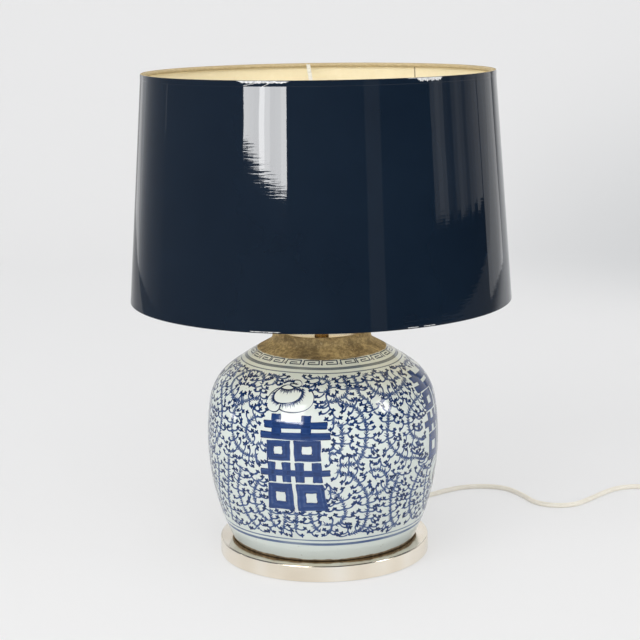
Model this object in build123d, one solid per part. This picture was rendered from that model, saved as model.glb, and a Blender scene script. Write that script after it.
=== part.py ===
from build123d import *
import os
from math import atan2, cos, degrees, pi, radians, sin, sqrt, tan

# Table lamp made from a porcelain ginger jar: a silver-plated base plate, the jar, and a threaded tube
# that clamps both to a lampholder, with a harp and spider that carry a drum shade.
# Millimetres, +Z up, origin on the table under the lamp's axis, front of the lamp towards -Y.

# ---- Driving dimensions ------------------------------------------------------------------------

# fits
free_gap = 0.3          # between pieces that are only near each other
slide_gap = 0.05        # between a turning piece and what it turns on, each side
face_gap = 0.1          # between the flat faces of pieces that turn on each other

# base plate: spun metal shell round a turned wooden block, with felt below
plate_radius = 98.0
plate_height = 15.8
plate_lift = 0.8        # the shell's lower edge stands this far above the table
plate_wall = 1.2
plate_edge_radius = 1.4
plate_lip = 4.0         # how far the lower edge is turned inwards
felt_thickness = 2.0
nut_pocket_radius = 17.0

# threaded tube that holds the lamp together
rod_radius = 4.9
rod_bore_radius = 3.5
rod_hole_radius = 5.2   # the holes that it passes through
rod_foot_z = 10.0
rod_nut_height = 3.0
rod_nut_flats = 14.0
rod_washer_radius = 11.0
rod_washer_thickness = 1.0

# jar
jar_foot_radius = 86.0
jar_foot_width = 6.5
jar_foot_pad = 0.8      # cork ring under the foot
jar_foot_recess = 4.5
jar_belly_radius = 107.7
jar_belly_z = 112.0
jar_shoulder_start = (104.9, 148.0)   # radius, height
jar_shoulder_end = (86.0, 179.0)
jar_neck_start = (50.0, 201.3)
jar_neck_radius = 45.6
jar_neck_z = 207.6
jar_rim_radius = 44.6
jar_rim_z = 212.0
jar_rim_rounding = 1.6
jar_wall = 5.0
jar_floor = 7.0

# cap sunk in the jar's mouth, and the short brass tube on it
cap_sink = 5.5
cap_thickness = 1.2
cap_skirt = 4.0
stem_radius = 6.7
stem_height = 15.0

# lampholder
holder_radius = 19.5
holder_wall = 1.5
holder_cap_height = 22.5
holder_neck_radius = 9.0
holder_shell_height = 38.0
insert_height = 12.0
insert_sink = 4.5       # the insert starts this far below the cap's upper edge
thread_radius = 13.35   # inside of the screw shell
thread_wall = 0.65
thread_height = 28.0

# bulb
bulb_radius = 30.0
bulb_glass_wall = 0.8
bulb_cap_radius = 13.15
bulb_cap_height = 24.5
bulb_length = 105.0
bulb_base_gap = 2.6     # from the insert to the bulb's contact

# harp and its saddle
saddle_thickness = 2.0
saddle_width = 15.0
harp_foot_x = 23.5
harp_foot_rise = 12.5   # from the saddle's underside to the harp's feet
harp_prong_radius = 2.2
harp_wire_radius = 2.0
harp_straight = 10.0
harp_half_width = 53.6
harp_wide_z = 316.8
harp_top_z = 397.0
harp_lean = 15.0        # degrees that the sides lean in above the widest place
sleeve_radius = 3.6
sleeve_height = 13.0

# stud, hub and finial on top of the harp
stud_radius = 3.2
stud_collar_radius = 6.0
stud_collar_height = 8.0
stud_length = 11.0
hub_radius = 13.0
hub_thickness = 2.0
finial_radius = 8.5
finial_neck_radius = 4.5
finial_neck_height = 6.0

# shade
shade_bottom_radius = 175.0
shade_top_radius = 159.5
shade_bottom_z = 243.7
shade_top_z = 448.8
shade_wall_thickness = 1.0
lining_thickness = 0.4
ring_wire_radius = 1.7
edging_height = 4.5
edging_thickness = 0.4
spider_arm_width = 3.7
spider_arm_thickness = 2.0
spider_first_arm = 93.6   # degrees from +X, the arm that points to the back
spider_arms = 3

# cord, its bushing in the base plate, its switch and its plug
cord_radius = 2.5
bushing_z = 6.4
bushing_collar_radius = 4.3
bushing_collar_thickness = 1.8
bushing_length = 24.0
bushing_tip_radius = 3.1
floor_z = cord_radius     # height of the cord's centreline where it lies on the table

switch_length = 66.0
switch_width = 24.0
switch_height = 15.0
switch_end_width = 11.0
switch_cord_z = 6.0
switch_grip = 8.0         # length of cord held inside each end
switch_x = 383.0
switch_y = 51.0
rocker_length = 15.2
rocker_width = 9.4
rocker_pin_radius = 1.2
rocker_pin_z = 11.0
rocker_tilt = 8.0         # degrees each side of level

coil_pitch = 5.5          # from turn to turn, and from layer to layer
coil_middle_radius = 27.5
coil_layer_turns = 2.75
coil_y = -42.0

plug_length = 38.0
plug_width = 35.3
plug_thickness = 13.7
pin_radius = 2.0
pin_length = 19.0
pin_spacing = 18.6
plug_cord_run = 48.0      # from the coil to the plug

# ---- Heights that follow from them -------------------------------------------------------------

plate_inner_z = plate_height - plate_wall
jar_base_z = plate_height + jar_foot_pad
jar_mouth_radius = jar_rim_radius - jar_wall
cap_z = jar_rim_z - cap_sink
saddle_z = cap_z + stem_height
holder_z = saddle_z + saddle_thickness
insert_z = holder_z + holder_cap_height - insert_sink
socket_z = insert_z + insert_height
bulb_z = socket_z + bulb_base_gap
bulb_cap_z = bulb_z + 3.0
harp_foot_z = saddle_z + harp_foot_rise
collar_top_z = harp_top_z + stud_collar_height / 2
hub_z = collar_top_z + face_gap
finial_z = hub_z + hub_thickness + face_gap
coil_outer_radius = coil_middle_radius + coil_pitch * coil_layer_turns / 2
coil_x = switch_x - coil_outer_radius


# ---- Shared ways of making a piece -------------------------------------------------------------

def turned(*edges):
    """Solid of revolution about the lamp's axis, from a closed outline of edges in radius and height."""
    return revolve(Plane.XZ * make_face(Curve() + list(edges)), Axis.Z)


def turned_points(*points):
    """Solid of revolution whose outline has only straight sides."""
    return turned(Polyline(*points, close=True))


def tube_along(path, radius):
    """Round tube with that path as its centreline."""
    return sweep(Plane(origin=path @ 0, z_dir=path % 0) * Circle(radius), path=path)


def heading(edge, place):
    """Unit tangent of an edge in the outline's own plane."""
    return edge % place


def inset(edge, place, depth):
    """Point that lies depth inside an outline that runs upwards on its right-hand side."""
    point, along = edge @ place, edge % place
    return point + Vector(-along.Y, along.X) * depth


def cylinder_between(radius, low, high):
    return Pos(0, 0, low) * Cylinder(radius, high - low, align=(Align.CENTER, Align.CENTER, Align.MIN))


# ---- Base plate --------------------------------------------------------------------------------

def base_plate():
    r, inner = plate_radius, plate_radius - plate_wall
    low, top = plate_lift, plate_height
    edge = plate_edge_radius
    side = Line((r, low), (r, top - edge))
    corner = TangentArc(side @ 1, (r - edge, top), tangent=side % 1)
    rest = Polyline(
        corner @ 1,
        (rod_hole_radius, top),
        (rod_hole_radius, plate_inner_z),
        (inner, plate_inner_z),
        (inner, low + plate_wall),
        (inner - plate_lip, low + plate_wall),
        (inner - plate_lip, low),
        (r, low),
    )
    shell = turned(side, corner, rest)
    hole_length = 4 * plate_wall
    hole = Pos(0, r, bushing_z) * Rot(90, 0, 0) * Cylinder(bushing_neck_radius() + slide_gap, hole_length)
    return shell - hole


def bushing_neck_radius():
    return (bushing_collar_radius + cord_radius) / 2


def base_block():
    r = plate_radius - plate_wall - plate_lip - free_gap
    low, top = felt_thickness, plate_inner_z
    block = turned_points((nut_pocket_radius, low), (r, low), (r, top), (nut_pocket_radius, top))
    channel_width = 2 * bushing_collar_radius + 2
    channel_top = bushing_z + bushing_collar_radius + free_gap
    channel = Box(channel_width, r + 1, channel_top - low, align=(Align.CENTER, Align.MIN, Align.MIN))
    return block - Pos(0, 0, low) * channel


def base_felt():
    r = plate_radius - plate_wall - plate_lip - free_gap
    return cylinder_between(r, 0, felt_thickness)


def cord_bushing():
    """Moulded bushing: a collar each side of the plate's wall and a tapering sleeve round the cord."""
    wall_out = plate_radius
    wall_in = plate_radius - plate_wall
    neck = bushing_neck_radius()
    inner_face = wall_in - free_gap
    outer_face = wall_out + slide_gap
    collar_end = outer_face + bushing_collar_thickness
    profile = Polyline(
        (cord_radius + slide_gap, inner_face - bushing_collar_thickness),
        (bushing_collar_radius, inner_face - bushing_collar_thickness),
        (bushing_collar_radius, inner_face),
        (neck, inner_face),
        (neck, outer_face),
        (bushing_collar_radius, outer_face),
        (bushing_collar_radius, collar_end),
        (neck + 0.6, collar_end + 1.0),
        (bushing_tip_radius, wall_out + bushing_length),
        (cord_radius + slide_gap, wall_out + bushing_length),
        close=True,
    )
    body = revolve(Plane.XZ * make_face(profile), Axis.Z)
    return Pos(0, 0, bushing_z) * Rot(-90, 0, 0) * body


def inner_cord():
    """Cord inside the lamp: through the bushing, across the base and up the threaded tube."""
    bend = 6.0
    top = holder_z + holder_cap_height / 2
    run = Line((0, plate_radius + bushing_length, bushing_z), (0, bend, bushing_z))
    turn = TangentArc(run @ 1, (0, 0, bushing_z + bend), tangent=run % 1)
    rise = Line(turn @ 1, (0, 0, top))
    return tube_along(Wire([run, turn, rise]), cord_radius)


def rod_washer():
    top = plate_inner_z
    ring = cylinder_between(rod_washer_radius, top - rod_washer_thickness, top)
    return ring - cylinder_between(rod_hole_radius, top - 2 * rod_washer_thickness, top + 1)


def rod_nut():
    top = plate_inner_z - rod_washer_thickness
    outline = RegularPolygon(radius=rod_nut_flats / 2, side_count=6, major_radius=False)
    nut = Pos(0, 0, top - rod_nut_height) * extrude(outline, rod_nut_height)
    return nut - cylinder_between(rod_radius + slide_gap, 0, top + 1)


def threaded_rod():
    top = holder_z + holder_cap_height / 3
    return cylinder_between(rod_radius, rod_foot_z, top) - cylinder_between(rod_bore_radius, 0, top + 1)


# ---- Jar ---------------------------------------------------------------------------------------

def jar_flank():
    """Outer curves of the body from the foot to the neck, each one tangent to the last."""
    belly = (jar_belly_radius, jar_belly_z)
    lower = TangentArc(belly, (jar_foot_radius, jar_base_z), tangent=(0, -1))
    upper = TangentArc(belly, jar_shoulder_start, tangent=(0, 1))
    turn = TangentArc(upper @ 1, jar_shoulder_end, tangent=upper % 1)
    shoulder = TangentArc(turn @ 1, jar_neck_start, tangent=turn % 1)
    neck = TangentArc(shoulder @ 1, (jar_neck_radius, jar_neck_z), tangent=shoulder % 1)
    return lower, upper, turn, shoulder, neck


def jar():
    """Thrown porcelain jar: hollow body, turned foot ring, short bare neck, and a hole drilled for the tube."""
    lower, upper, turn, shoulder, neck = jar_flank()
    w = jar_wall
    rim_in = jar_rim_radius - w
    lip = jar_rim_rounding
    neck_wall = Line(neck @ 1, (jar_rim_radius, jar_rim_z - lip))
    rim_out = TangentArc(neck_wall @ 1, (jar_rim_radius - lip, jar_rim_z), tangent=neck_wall % 1)
    rim = Line(rim_out @ 1, (rim_in, jar_rim_z))

    # The inside follows the outside at the wall's thickness, down to the jar's floor.
    belly_in = Vector(jar_belly_radius - w, jar_belly_z)
    floor_z_in = jar_base_z + jar_foot_recess + jar_floor
    foot_in = inset_on_lower(lower, w, floor_z_in)
    upper_in = TangentArc(belly_in, inset(upper, 1, w), tangent=(0, 1))
    turn_in = TangentArc(upper_in @ 1, inset(turn, 1, w), tangent=upper_in % 1)
    throat = (rim_in, inset(shoulder, 1, w).Y - w / 2)
    shoulder_in = TangentArc(turn_in @ 1, throat, tangent=turn_in % 1)
    lower_in = TangentArc(belly_in, foot_in, tangent=(0, -1))
    foot_ring_in = jar_foot_radius - jar_foot_width
    recess_z = jar_base_z + jar_foot_recess
    closing = Polyline(
        foot_in,
        (rod_hole_radius, floor_z_in),
        (rod_hole_radius, recess_z),
        (foot_ring_in - 2, recess_z),
        (foot_ring_in, jar_base_z),
        (jar_foot_radius, jar_base_z),
    )
    bore = Line((rim_in, jar_rim_z), throat)
    return turned(
        lower, upper, turn, shoulder, neck, neck_wall, rim_out, rim, bore,
        shoulder_in, turn_in, upper_in, lower_in, closing,
    )


def inset_on_lower(lower, depth, height):
    """Where the inner wall of the lower body meets the jar's floor: same centre, shorter radius."""
    centre = lower.arc_center
    radius = lower.radius - depth
    rise = height - centre.Y
    return Vector(centre.X + sqrt(radius**2 - rise**2), height)


def foot_pad():
    inner = jar_foot_radius - jar_foot_width + 1.0
    outer = jar_foot_radius - 1.5
    return turned_points(
        (inner, plate_height), (outer, plate_height), (outer, jar_base_z), (inner, jar_base_z)
    )


def neck_cap():
    """Shallow metal cap wedged in the jar's mouth."""
    edge = jar_mouth_radius - slide_gap
    top, under = cap_z, cap_z - cap_thickness
    return turned_points(
        (rod_hole_radius, top),
        (edge, top),
        (edge, top - cap_skirt),
        (edge - cap_thickness, top - cap_skirt),
        (edge - cap_thickness, under),
        (rod_hole_radius, under),
    )


def stem_tube():
    return cylinder_between(stem_radius, cap_z, saddle_z) - cylinder_between(rod_hole_radius, 0, saddle_z + 1)


# ---- Lampholder and bulb -----------------------------------------------------------------------

def holder_cap():
    """Domed lower half of the lampholder, threaded on the tube."""
    r, wall, low = holder_radius, holder_wall, holder_z
    top = low + holder_cap_height
    neck, dome_z = holder_neck_radius, low + 0.8 * holder_cap_height
    collar_z = low + 0.25 * holder_cap_height
    collar = Line((neck, low), (neck, collar_z))
    dome = TangentArc((r, dome_z), collar @ 1, tangent=(0, -1))
    side = Line((r, dome_z), (r, top))
    dome_in = TangentArc((r - wall, dome_z), (rod_hole_radius + wall, collar_z + wall), tangent=(0, -1))
    rest = Polyline(
        (r, top), (r - wall, top), (r - wall, dome_z)
    )
    bore = Polyline(
        dome_in @ 1, (rod_radius + slide_gap, collar_z + wall), (rod_radius + slide_gap, low), (neck, low)
    )
    return turned(collar, dome, side, rest, dome_in, bore)


def holder_shell():
    """Open upper half of the lampholder, with a bead where it screws on the cap."""
    r, wall = holder_radius, holder_wall
    low = holder_z + holder_cap_height
    top = low + holder_shell_height
    bead = 1.2
    return turned_points(
        (r - wall, low), (r + bead, low), (r + bead, low + 4), (r, low + 4 + bead),
        (r - 0.8, top), (r - 0.8 - wall, top), (r - wall, low + 4),
    )


def holder_insert():
    r = holder_radius - holder_wall - 2 * slide_gap
    block = cylinder_between(r - 1.0, insert_z, socket_z)
    wire_hole = Cylinder(1.6, 4 * insert_height)
    return block - Pos(7.5, 0, insert_z) * wire_hole - Pos(-7.5, 0, insert_z) * wire_hole


def holder_thread():
    """Brass screw shell that takes the bulb."""
    inner, outer = thread_radius, thread_radius + thread_wall
    low, top = socket_z, socket_z + thread_height
    return turned_points((inner, low), (outer, low), (outer, top), (inner, top))


def holder_contact():
    """Springy centre contact: a strip that stands up towards the bulb."""
    strip, width = 0.6, 5.0
    rise = bulb_base_gap - face_gap - strip / 2
    low = socket_z + strip / 2
    centreline = Polyline((-7, low), (-3, low), (-1.5, low - strip / 2 + rise), (3, low - strip / 2 + rise))
    outline = offset(centreline, amount=strip / 2)
    return Pos(0, width / 2, 0) * extrude(Plane.XZ * make_face(outline), width)


def bulb_glass():
    """Pear-shaped frosted envelope, open where the cap is cemented on."""
    wall, r = bulb_glass_wall, bulb_radius
    top = bulb_z + bulb_length
    ball_z = top - r
    neck_z = bulb_cap_z + bulb_cap_height - 3
    neck_r = bulb_cap_radius - 0.6
    swell_z = neck_z + 0.35 * (ball_z - neck_z)
    parts = []
    for shrink in (0, wall):
        ball = ThreePointArc(
            (0, top - shrink),
            ((r - shrink) * sin(pi / 4), ball_z + (r - shrink) * cos(pi / 4)),
            (r - shrink, ball_z),
        )
        swell = Spline(
            ball @ 1,
            ((neck_r + r) / 2 - shrink, (swell_z + ball_z) / 2),
            (neck_r - shrink, neck_z + 1.0),
            tangents=((0, -1), (0, -1)),
        )
        parts.append((ball, swell))
    (ball, swell), (ball_in, swell_in) = parts
    foot = Polyline(swell @ 1, (neck_r, neck_z - 2), (neck_r - wall, neck_z - 2), swell_in @ 1)
    tip = Line(ball_in @ 0, ball @ 0)
    return turned(ball, swell, foot, swell_in, ball_in, tip)


def bulb_cap():
    """Metal screw cap of the bulb."""
    r, wall, low = bulb_cap_radius, 0.5, bulb_cap_z
    top = low + bulb_cap_height
    taper = 3.0
    return turned_points(
        (9.0, low), (r, low + taper), (r, top), (r - wall, top), (r - wall, low + taper + 0.2), (9.0 - wall, low + 0.2),
    )


def bulb_base():
    """Black glass insulator with the solder contact under it."""
    insulator = turned_points((0, bulb_z + 1.0), (4.5, bulb_z + 1.0), (8.4, bulb_cap_z + 0.2), (8.4, bulb_cap_z + 1.6), (0, bulb_cap_z + 1.6))
    return insulator + cylinder_between(3.6, bulb_z, bulb_z + 1.2)


# ---- Harp, hub and finial ----------------------------------------------------------------------

def harp_saddle():
    """Bent strip clamped under the lampholder, with a prong at each end for the harp's feet."""
    strip = Pos(0, 0, saddle_z) * Box(
        2 * harp_foot_x, saddle_width, saddle_thickness, align=(Align.CENTER, Align.CENTER, Align.MIN)
    )
    ends = [
        Pos(side * harp_foot_x, 0, 0) * cylinder_between(saddle_width / 4, saddle_z, holder_z)
        for side in (-1, 1)
    ]
    prongs = [
        Pos(side * harp_foot_x, 0, 0) * cylinder_between(harp_prong_radius, saddle_z, harp_foot_z)
        for side in (-1, 1)
    ]
    return strip + ends + prongs - cylinder_between(rod_hole_radius, 0, holder_z + 1)


def harp_side(side):
    """One side of the harp: two equal bends out to the widest place, then a lean and a round shoulder in."""
    foot = Vector(harp_foot_x, harp_foot_z)
    knee = foot + Vector(0, harp_straight)
    wide = Vector(harp_half_width, harp_wide_z)
    middle = (knee + wide) / 2
    # The leaning side and the shoulder are chords of two arcs; their lengths bring the wire to the
    # middle of the lamp at the harp's full height.
    lean = radians(90 + harp_lean / 2)
    shoulder = radians(90 + harp_lean + (90 - harp_lean) / 2)
    rise = harp_top_z - harp_wide_z
    det = cos(lean) * sin(shoulder) - cos(shoulder) * sin(lean)
    lean_length = (-harp_half_width * sin(shoulder) - rise * cos(shoulder)) / det
    shoulder_start = wide + Vector(cos(lean), sin(lean)) * lean_length
    points = [foot, knee, middle, wide, shoulder_start, Vector(0, harp_top_z)]
    p = [Vector(side * v.X, 0, v.Y) for v in points]
    leg = Line(p[0], p[1])
    bend_out = TangentArc(p[1], p[2], tangent=(0, 0, 1))
    bend_up = TangentArc(p[2], p[3], tangent=bend_out % 1)
    lean_in = TangentArc(p[3], p[4], tangent=bend_up % 1)
    crown = TangentArc(p[4], p[5], tangent=lean_in % 1)
    return [leg, bend_out, bend_up, lean_in, crown]


def harp_wire():
    return tube_along(Wire(harp_side(-1) + harp_side(1)), harp_wire_radius)


def harp_sleeves():
    """Ferrules that lock the harp's feet to the saddle's prongs."""
    low = harp_foot_z - sleeve_height / 2
    ring = cylinder_between(sleeve_radius, low, low + sleeve_height)
    ring -= cylinder_between(harp_prong_radius + slide_gap, low - 1, low + sleeve_height + 1)
    return Compound([Pos(side * harp_foot_x, 0, 0) * ring for side in (-1, 1)])


def harp_stud():
    """Swivel collar on top of the harp with the threaded stud for the finial."""
    low = harp_top_z - stud_collar_height / 2
    collar = cylinder_between(stud_collar_radius, low, collar_top_z)
    stud = cylinder_between(stud_radius, collar_top_z, collar_top_z + stud_length)
    return collar + stud - harp_wire()


def finial():
    """Turned brass knob that clamps the spider's hub on the harp."""
    low, r, neck_r = finial_z, finial_radius, finial_neck_radius
    neck_top = low + finial_neck_height
    knob_z = neck_top + sqrt(r**2 - neck_r**2)
    top = knob_z + r
    bore_r, bore_top = stud_radius + slide_gap, collar_top_z + stud_length + face_gap
    foot = Polyline((bore_r, low), (r - 1.5, low), (r - 1.5, low + 2.5), (neck_r, low + 4.5))
    neck = Line(foot @ 1, (neck_r, neck_top))
    knob = ThreePointArc(neck @ 1, (r, knob_z), (0, top))
    core = Polyline((0, top), (0, bore_top), (bore_r, bore_top), (bore_r, low))
    return turned(foot, neck, knob, core)


def spider():
    """Three flat arms from a pierced hub up to the shade's top ring."""
    hub = cylinder_between(hub_radius, hub_z, hub_z + hub_thickness)
    hub -= cylinder_between(stud_radius + slide_gap, 0, hub_z + hub_thickness + 1)
    reach = top_ring_radius() - ring_wire_radius - slide_gap
    start = hub_radius - 2.0
    foot_z = hub_z + hub_thickness / 2
    tip_z = ring_top_z()
    arm_line = Polyline((start, foot_z), (hub_radius + 6, foot_z), (reach, tip_z))
    outline = offset(arm_line, amount=spider_arm_thickness / 2, kind=Kind.INTERSECTION)
    arm = Pos(0, spider_arm_width / 2, 0) * extrude(Plane.XZ * make_face(outline), spider_arm_width)
    inside = cylinder_between(reach, 0, shade_top_z + 10)
    turns = [Rot(0, 0, spider_first_arm + 360 * i / spider_arms) for i in range(spider_arms)]
    return hub + [turn * (arm & inside) for turn in turns]


# ---- Shade -------------------------------------------------------------------------------------

def shade_radius(height):
    """Outer radius of the shade's wall at a height."""
    share = (height - shade_bottom_z) / (shade_top_z - shade_bottom_z)
    return shade_bottom_radius + share * (shade_top_radius - shade_bottom_radius)


def cone_band(low, high, skin_in, skin_out):
    """Band of the shade's cone between two heights, from one depth behind its outer face to another."""
    return turned_points(
        (shade_radius(low) - skin_in, low),
        (shade_radius(low) - skin_out, low),
        (shade_radius(high) - skin_out, high),
        (shade_radius(high) - skin_in, high),
    )


def lining_face():
    return shade_wall_thickness + lining_thickness


def top_ring_radius():
    return shade_radius(ring_top_z()) - lining_face() - ring_wire_radius - slide_gap


def ring_top_z():
    return shade_top_z - ring_wire_radius


def shade_wall():
    return cone_band(shade_bottom_z, shade_top_z, shade_wall_thickness, 0)


def shade_lining():
    return cone_band(shade_bottom_z, shade_top_z, lining_face(), shade_wall_thickness)


def wire_ring(height):
    radius = shade_radius(height) - lining_face() - ring_wire_radius - slide_gap
    return Pos(0, 0, height) * Torus(radius, ring_wire_radius)


def edging(low, high, lip_low, lip_high):
    """Folded strip of the shade's own material: a band outside the wall and a lip over its cut edge."""
    band = cone_band(low, high, 0, -edging_thickness)
    lip = cone_band(lip_low, lip_high, lining_face(), -edging_thickness)
    return band + lip


def top_edging():
    return edging(shade_top_z - edging_height, shade_top_z, shade_top_z, shade_top_z + edging_thickness)


def bottom_edging():
    return edging(
        shade_bottom_z, shade_bottom_z + edging_height, shade_bottom_z - edging_thickness, shade_bottom_z
    )


# ---- Cord --------------------------------------------------------------------------------------

switch_front = switch_y - switch_length / 2
switch_back = switch_y + switch_length / 2
exit_y = plate_radius + bushing_length

# From the bushing behind the lamp, in a wave along the table to the right, and back to the switch.
route_to_switch = [
    (0, exit_y, bushing_z),
    (0, exit_y + 14, bushing_z),
    (2, 153, floor_z),
    (10, 170, floor_z),
    (29, 180, floor_z),
    (51, 175, floor_z),
    (70, 160, floor_z),
    (89, 148, floor_z),
    (110, 151, floor_z),
    (127, 166, floor_z),
    (146, 178, floor_z),
    (168, 181, floor_z),
    (189, 175, floor_z),
    (201, 159, floor_z),
    (209, 140.5, floor_z),
    (216, 121, floor_z),
    (233.6, 109.6, floor_z),
    (255.5, 111.9, floor_z),
    (273, 130, floor_z),
    (289.5, 149.5, floor_z),
    (308, 168, floor_z),
    (332, 173.5, floor_z),
    (355, 166, floor_z),
    (373, 148, floor_z),
    (switch_x, 123, floor_z),
    (switch_x, 101, switch_cord_z),
    (switch_x, switch_back - switch_grip, switch_cord_z),
]

route_to_coil = [
    (switch_x, switch_front + switch_grip, switch_cord_z),
    (switch_x, switch_front - 8, switch_cord_z),
    (switch_x, switch_front - 30, floor_z),
    (switch_x, coil_y, floor_z),
]

coil_top = floor_z + coil_pitch
plug_mid_z = plug_thickness / 2
plug_back = coil_y - plug_cord_run

route_to_plug = [
    (switch_x, coil_y, coil_top),
    (switch_x, coil_y - 14, coil_top),
    (switch_x, coil_y - 32, plug_mid_z),
    (switch_x, plug_back, plug_mid_z),
]


def bend_radii(points):
    """Largest arcs that the runs of a route allow: 0.45 of the shorter run at every corner."""
    spots = [Vector(*p) for p in points]
    radii = []
    for before, here, after in zip(spots, spots[1:], spots[2:]):
        into, out = here - before, after - here
        half_turn = radians(into.get_angle(out)) / 2
        radii.append(0.45 * min(into.length, out.length) / tan(half_turn))
    return radii


def cord_run(points):
    radii = bend_radii(points)
    path = FilletPolyline(*points, radius=radii)
    solid = tube_along(path, cord_radius)
    expected = pi * cord_radius**2 * path.length
    print(f"route of {path.length:.0f} mm, smallest bends {sorted(round(r) for r in radii)[:4]},"
          f" volume {solid.volume / expected:.4f} of section times length")
    return solid


def coil_spot(turns):
    """Place on the coil's centreline: in along the lower layer, up in half a turn, out along the upper."""
    inner = coil_middle_radius - coil_pitch * coil_layer_turns / 2
    into, back = coil_layer_turns, coil_layer_turns + 0.5
    if turns <= into:
        radius, height = inner + coil_pitch * (into - turns), floor_z
    elif turns < back:
        share = (turns - into) / (back - into)
        radius = inner - coil_pitch / (2 * pi) * sin(pi * share)
        height = floor_z + coil_pitch * (1 - cos(pi * share)) / 2
    else:
        radius, height = inner + coil_pitch * (turns - back), coil_top
    angle = -2 * pi * turns
    return Vector(coil_x + radius * cos(angle), coil_y + radius * sin(angle), height)


def coil_heading(turns, total):
    """Direction of the coil's centreline; the two ends run straight on from the turns."""
    if turns in (0, total):
        return Vector(0, -1, 0)
    step = 0.001
    return (coil_spot(turns + step) - coil_spot(turns - step)).normalized()


def biarc(start, start_heading, end, end_heading):
    """Two arcs that meet smoothly and leave and arrive in the given directions."""
    across = end - start
    both = start_heading + end_heading
    spread = 2 * (1 - start_heading.dot(end_heading))
    reach = (-across.dot(both) + sqrt(across.dot(both) ** 2 + spread * across.dot(across))) / spread
    first, second = start + start_heading * reach, end - end_heading * reach
    meeting = (first + second) / 2
    return [
        TangentArc(start, meeting, tangent=start_heading),
        TangentArc(meeting, end, tangent=second - first),
    ]


def cord_coil():
    total = 2 * coil_layer_turns + 0.5
    stops = [0.25 * i for i in range(round(total / 0.25) + 1)]
    arcs = []
    for here, there in zip(stops, stops[1:]):
        arcs += biarc(coil_spot(here), coil_heading(here, total), coil_spot(there), coil_heading(there, total))
    path = Wire(arcs)
    # Least gap between turns, from points that lie more than a third of a turn apart.
    count = 600
    spots = [path @ (i / count) for i in range(count + 1)]
    apart = round(count / total / 3)
    least = min((spots[i] - spots[j]).length for i in range(count) for j in range(i + apart, count + 1))
    print(f"coil of {path.length:.0f} mm in {total} turns, least gap between turns {least - 2 * cord_radius:.2f} mm")
    return tube_along(path, cord_radius)


# ---- Switch and plug ---------------------------------------------------------------------------

def switch_outline():
    half_l, half_w, half_end = switch_length / 2, switch_width / 2, switch_end_width / 2
    taper = half_l - 0.4 * switch_length / 2
    corners = [(half_end, half_l), (half_w, taper), (half_w, -taper), (half_end, -half_l)]
    mirrored = [(-x, y) for x, y in reversed(corners)]
    face = make_face(Polyline(*corners, *mirrored, close=True))
    return fillet(face.vertices(), radius=2.5)


def cord_channels():
    """Room for the cord in both ends of the switch."""
    bore = Rot(90, 0, 0) * Cylinder(cord_radius + slide_gap, switch_grip + 1)
    offset_y = switch_length / 2 - (switch_grip - 1) / 2
    return [Pos(0, side * offset_y, switch_cord_z) * bore for side in (-1, 1)]


def screw_spots():
    return [Pos(0, side * switch_length * 0.27, 0) for side in (-1, 1)]


def at_switch(shape):
    return Pos(switch_x, switch_y, 0) * shape


def switch_base():
    half = extrude(switch_outline(), switch_cord_z)
    half = fillet(half.faces().sort_by(Axis.Z)[0].edges(), radius=1.5)
    for spot in screw_spots():
        half -= spot * (cylinder_between(2.6, -1, 2.2) + cylinder_between(1.2 + slide_gap, 0, switch_height))
    return at_switch(half - cord_channels())


def switch_cover():
    """Upper half with the rocker's window, the pocket below it and a bearing each side for its pin."""
    half = Pos(0, 0, switch_cord_z) * extrude(switch_outline(), switch_height - switch_cord_z)
    half = fillet(half.faces().sort_by(Axis.Z)[-1].edges(), radius=2.0)
    pocket_floor = rocker_pin_z - 3.8
    pocket = Pos(0, 0, pocket_floor) * Box(
        rocker_width + 0.6,
        rocker_length + 1.6,
        switch_height,
        align=(Align.CENTER, Align.CENTER, Align.MIN),
    )
    bearing = Pos(0, 0, rocker_pin_z) * Rot(0, 90, 0) * Cylinder(rocker_pin_radius + slide_gap, rocker_width + 3.4)
    half -= pocket + bearing
    for spot in screw_spots():
        half -= spot * cylinder_between(1.2 + slide_gap, 0, switch_cord_z + 3.2)
    return at_switch(half - cord_channels())


def switch_rocker():
    """Rocker key with a shallow V on top, resting with its front half down."""
    half = rocker_length / 2
    high = switch_height - rocker_pin_z + 0.7
    dip = high - half * tan(radians(rocker_tilt + 1))
    face = make_face(Polyline(
        (-half, high), (0, dip), (half, high), (half, 0), (half / 2, -2.4), (-half / 2, -2.4), (-half, 0), close=True
    ))
    key = Pos(-rocker_width / 2, 0, 0) * extrude(Plane.YZ * face, rocker_width)
    pin = Rot(0, 90, 0) * Cylinder(rocker_pin_radius, rocker_width + 3.0)
    return at_switch(Pos(0, 0, rocker_pin_z) * Rot(rocker_tilt, 0, 0) * (key + pin))


def switch_screws():
    head = cylinder_between(2.4, 0.6, 2.2)
    slot = Pos(0, 0, 0.6) * Box(5, 0.7, 1.2)
    screw = head - slot + cylinder_between(1.2, 2.0, switch_cord_z + 3.0)
    return Compound([at_switch(spot * screw) for spot in screw_spots()])


def plug_body():
    """Flat moulded two-pin plug that tapers towards its cord."""
    front = plug_back - plug_length
    waist = front + 0.55 * plug_length
    thick = plug_thickness

    def section(y, width, height, corner):
        return Plane(origin=(switch_x, y, plug_mid_z), z_dir=(0, 1, 0), x_dir=(1, 0, 0)) * RectangleRounded(
            width, height, corner
        )

    nose = extrude(section(front, plug_width, thick, 3.5), 0.3 * plug_length)
    nose_end = front + 0.3 * plug_length
    middle = loft([section(nose_end, plug_width, thick, 3.5), section(waist, 0.62 * plug_width, thick, 3.5)])
    tail = loft([section(waist, 0.62 * plug_width, thick, 3.5), section(plug_back, 8.0, 7.0, 3.0)])
    return nose + middle + tail


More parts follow.
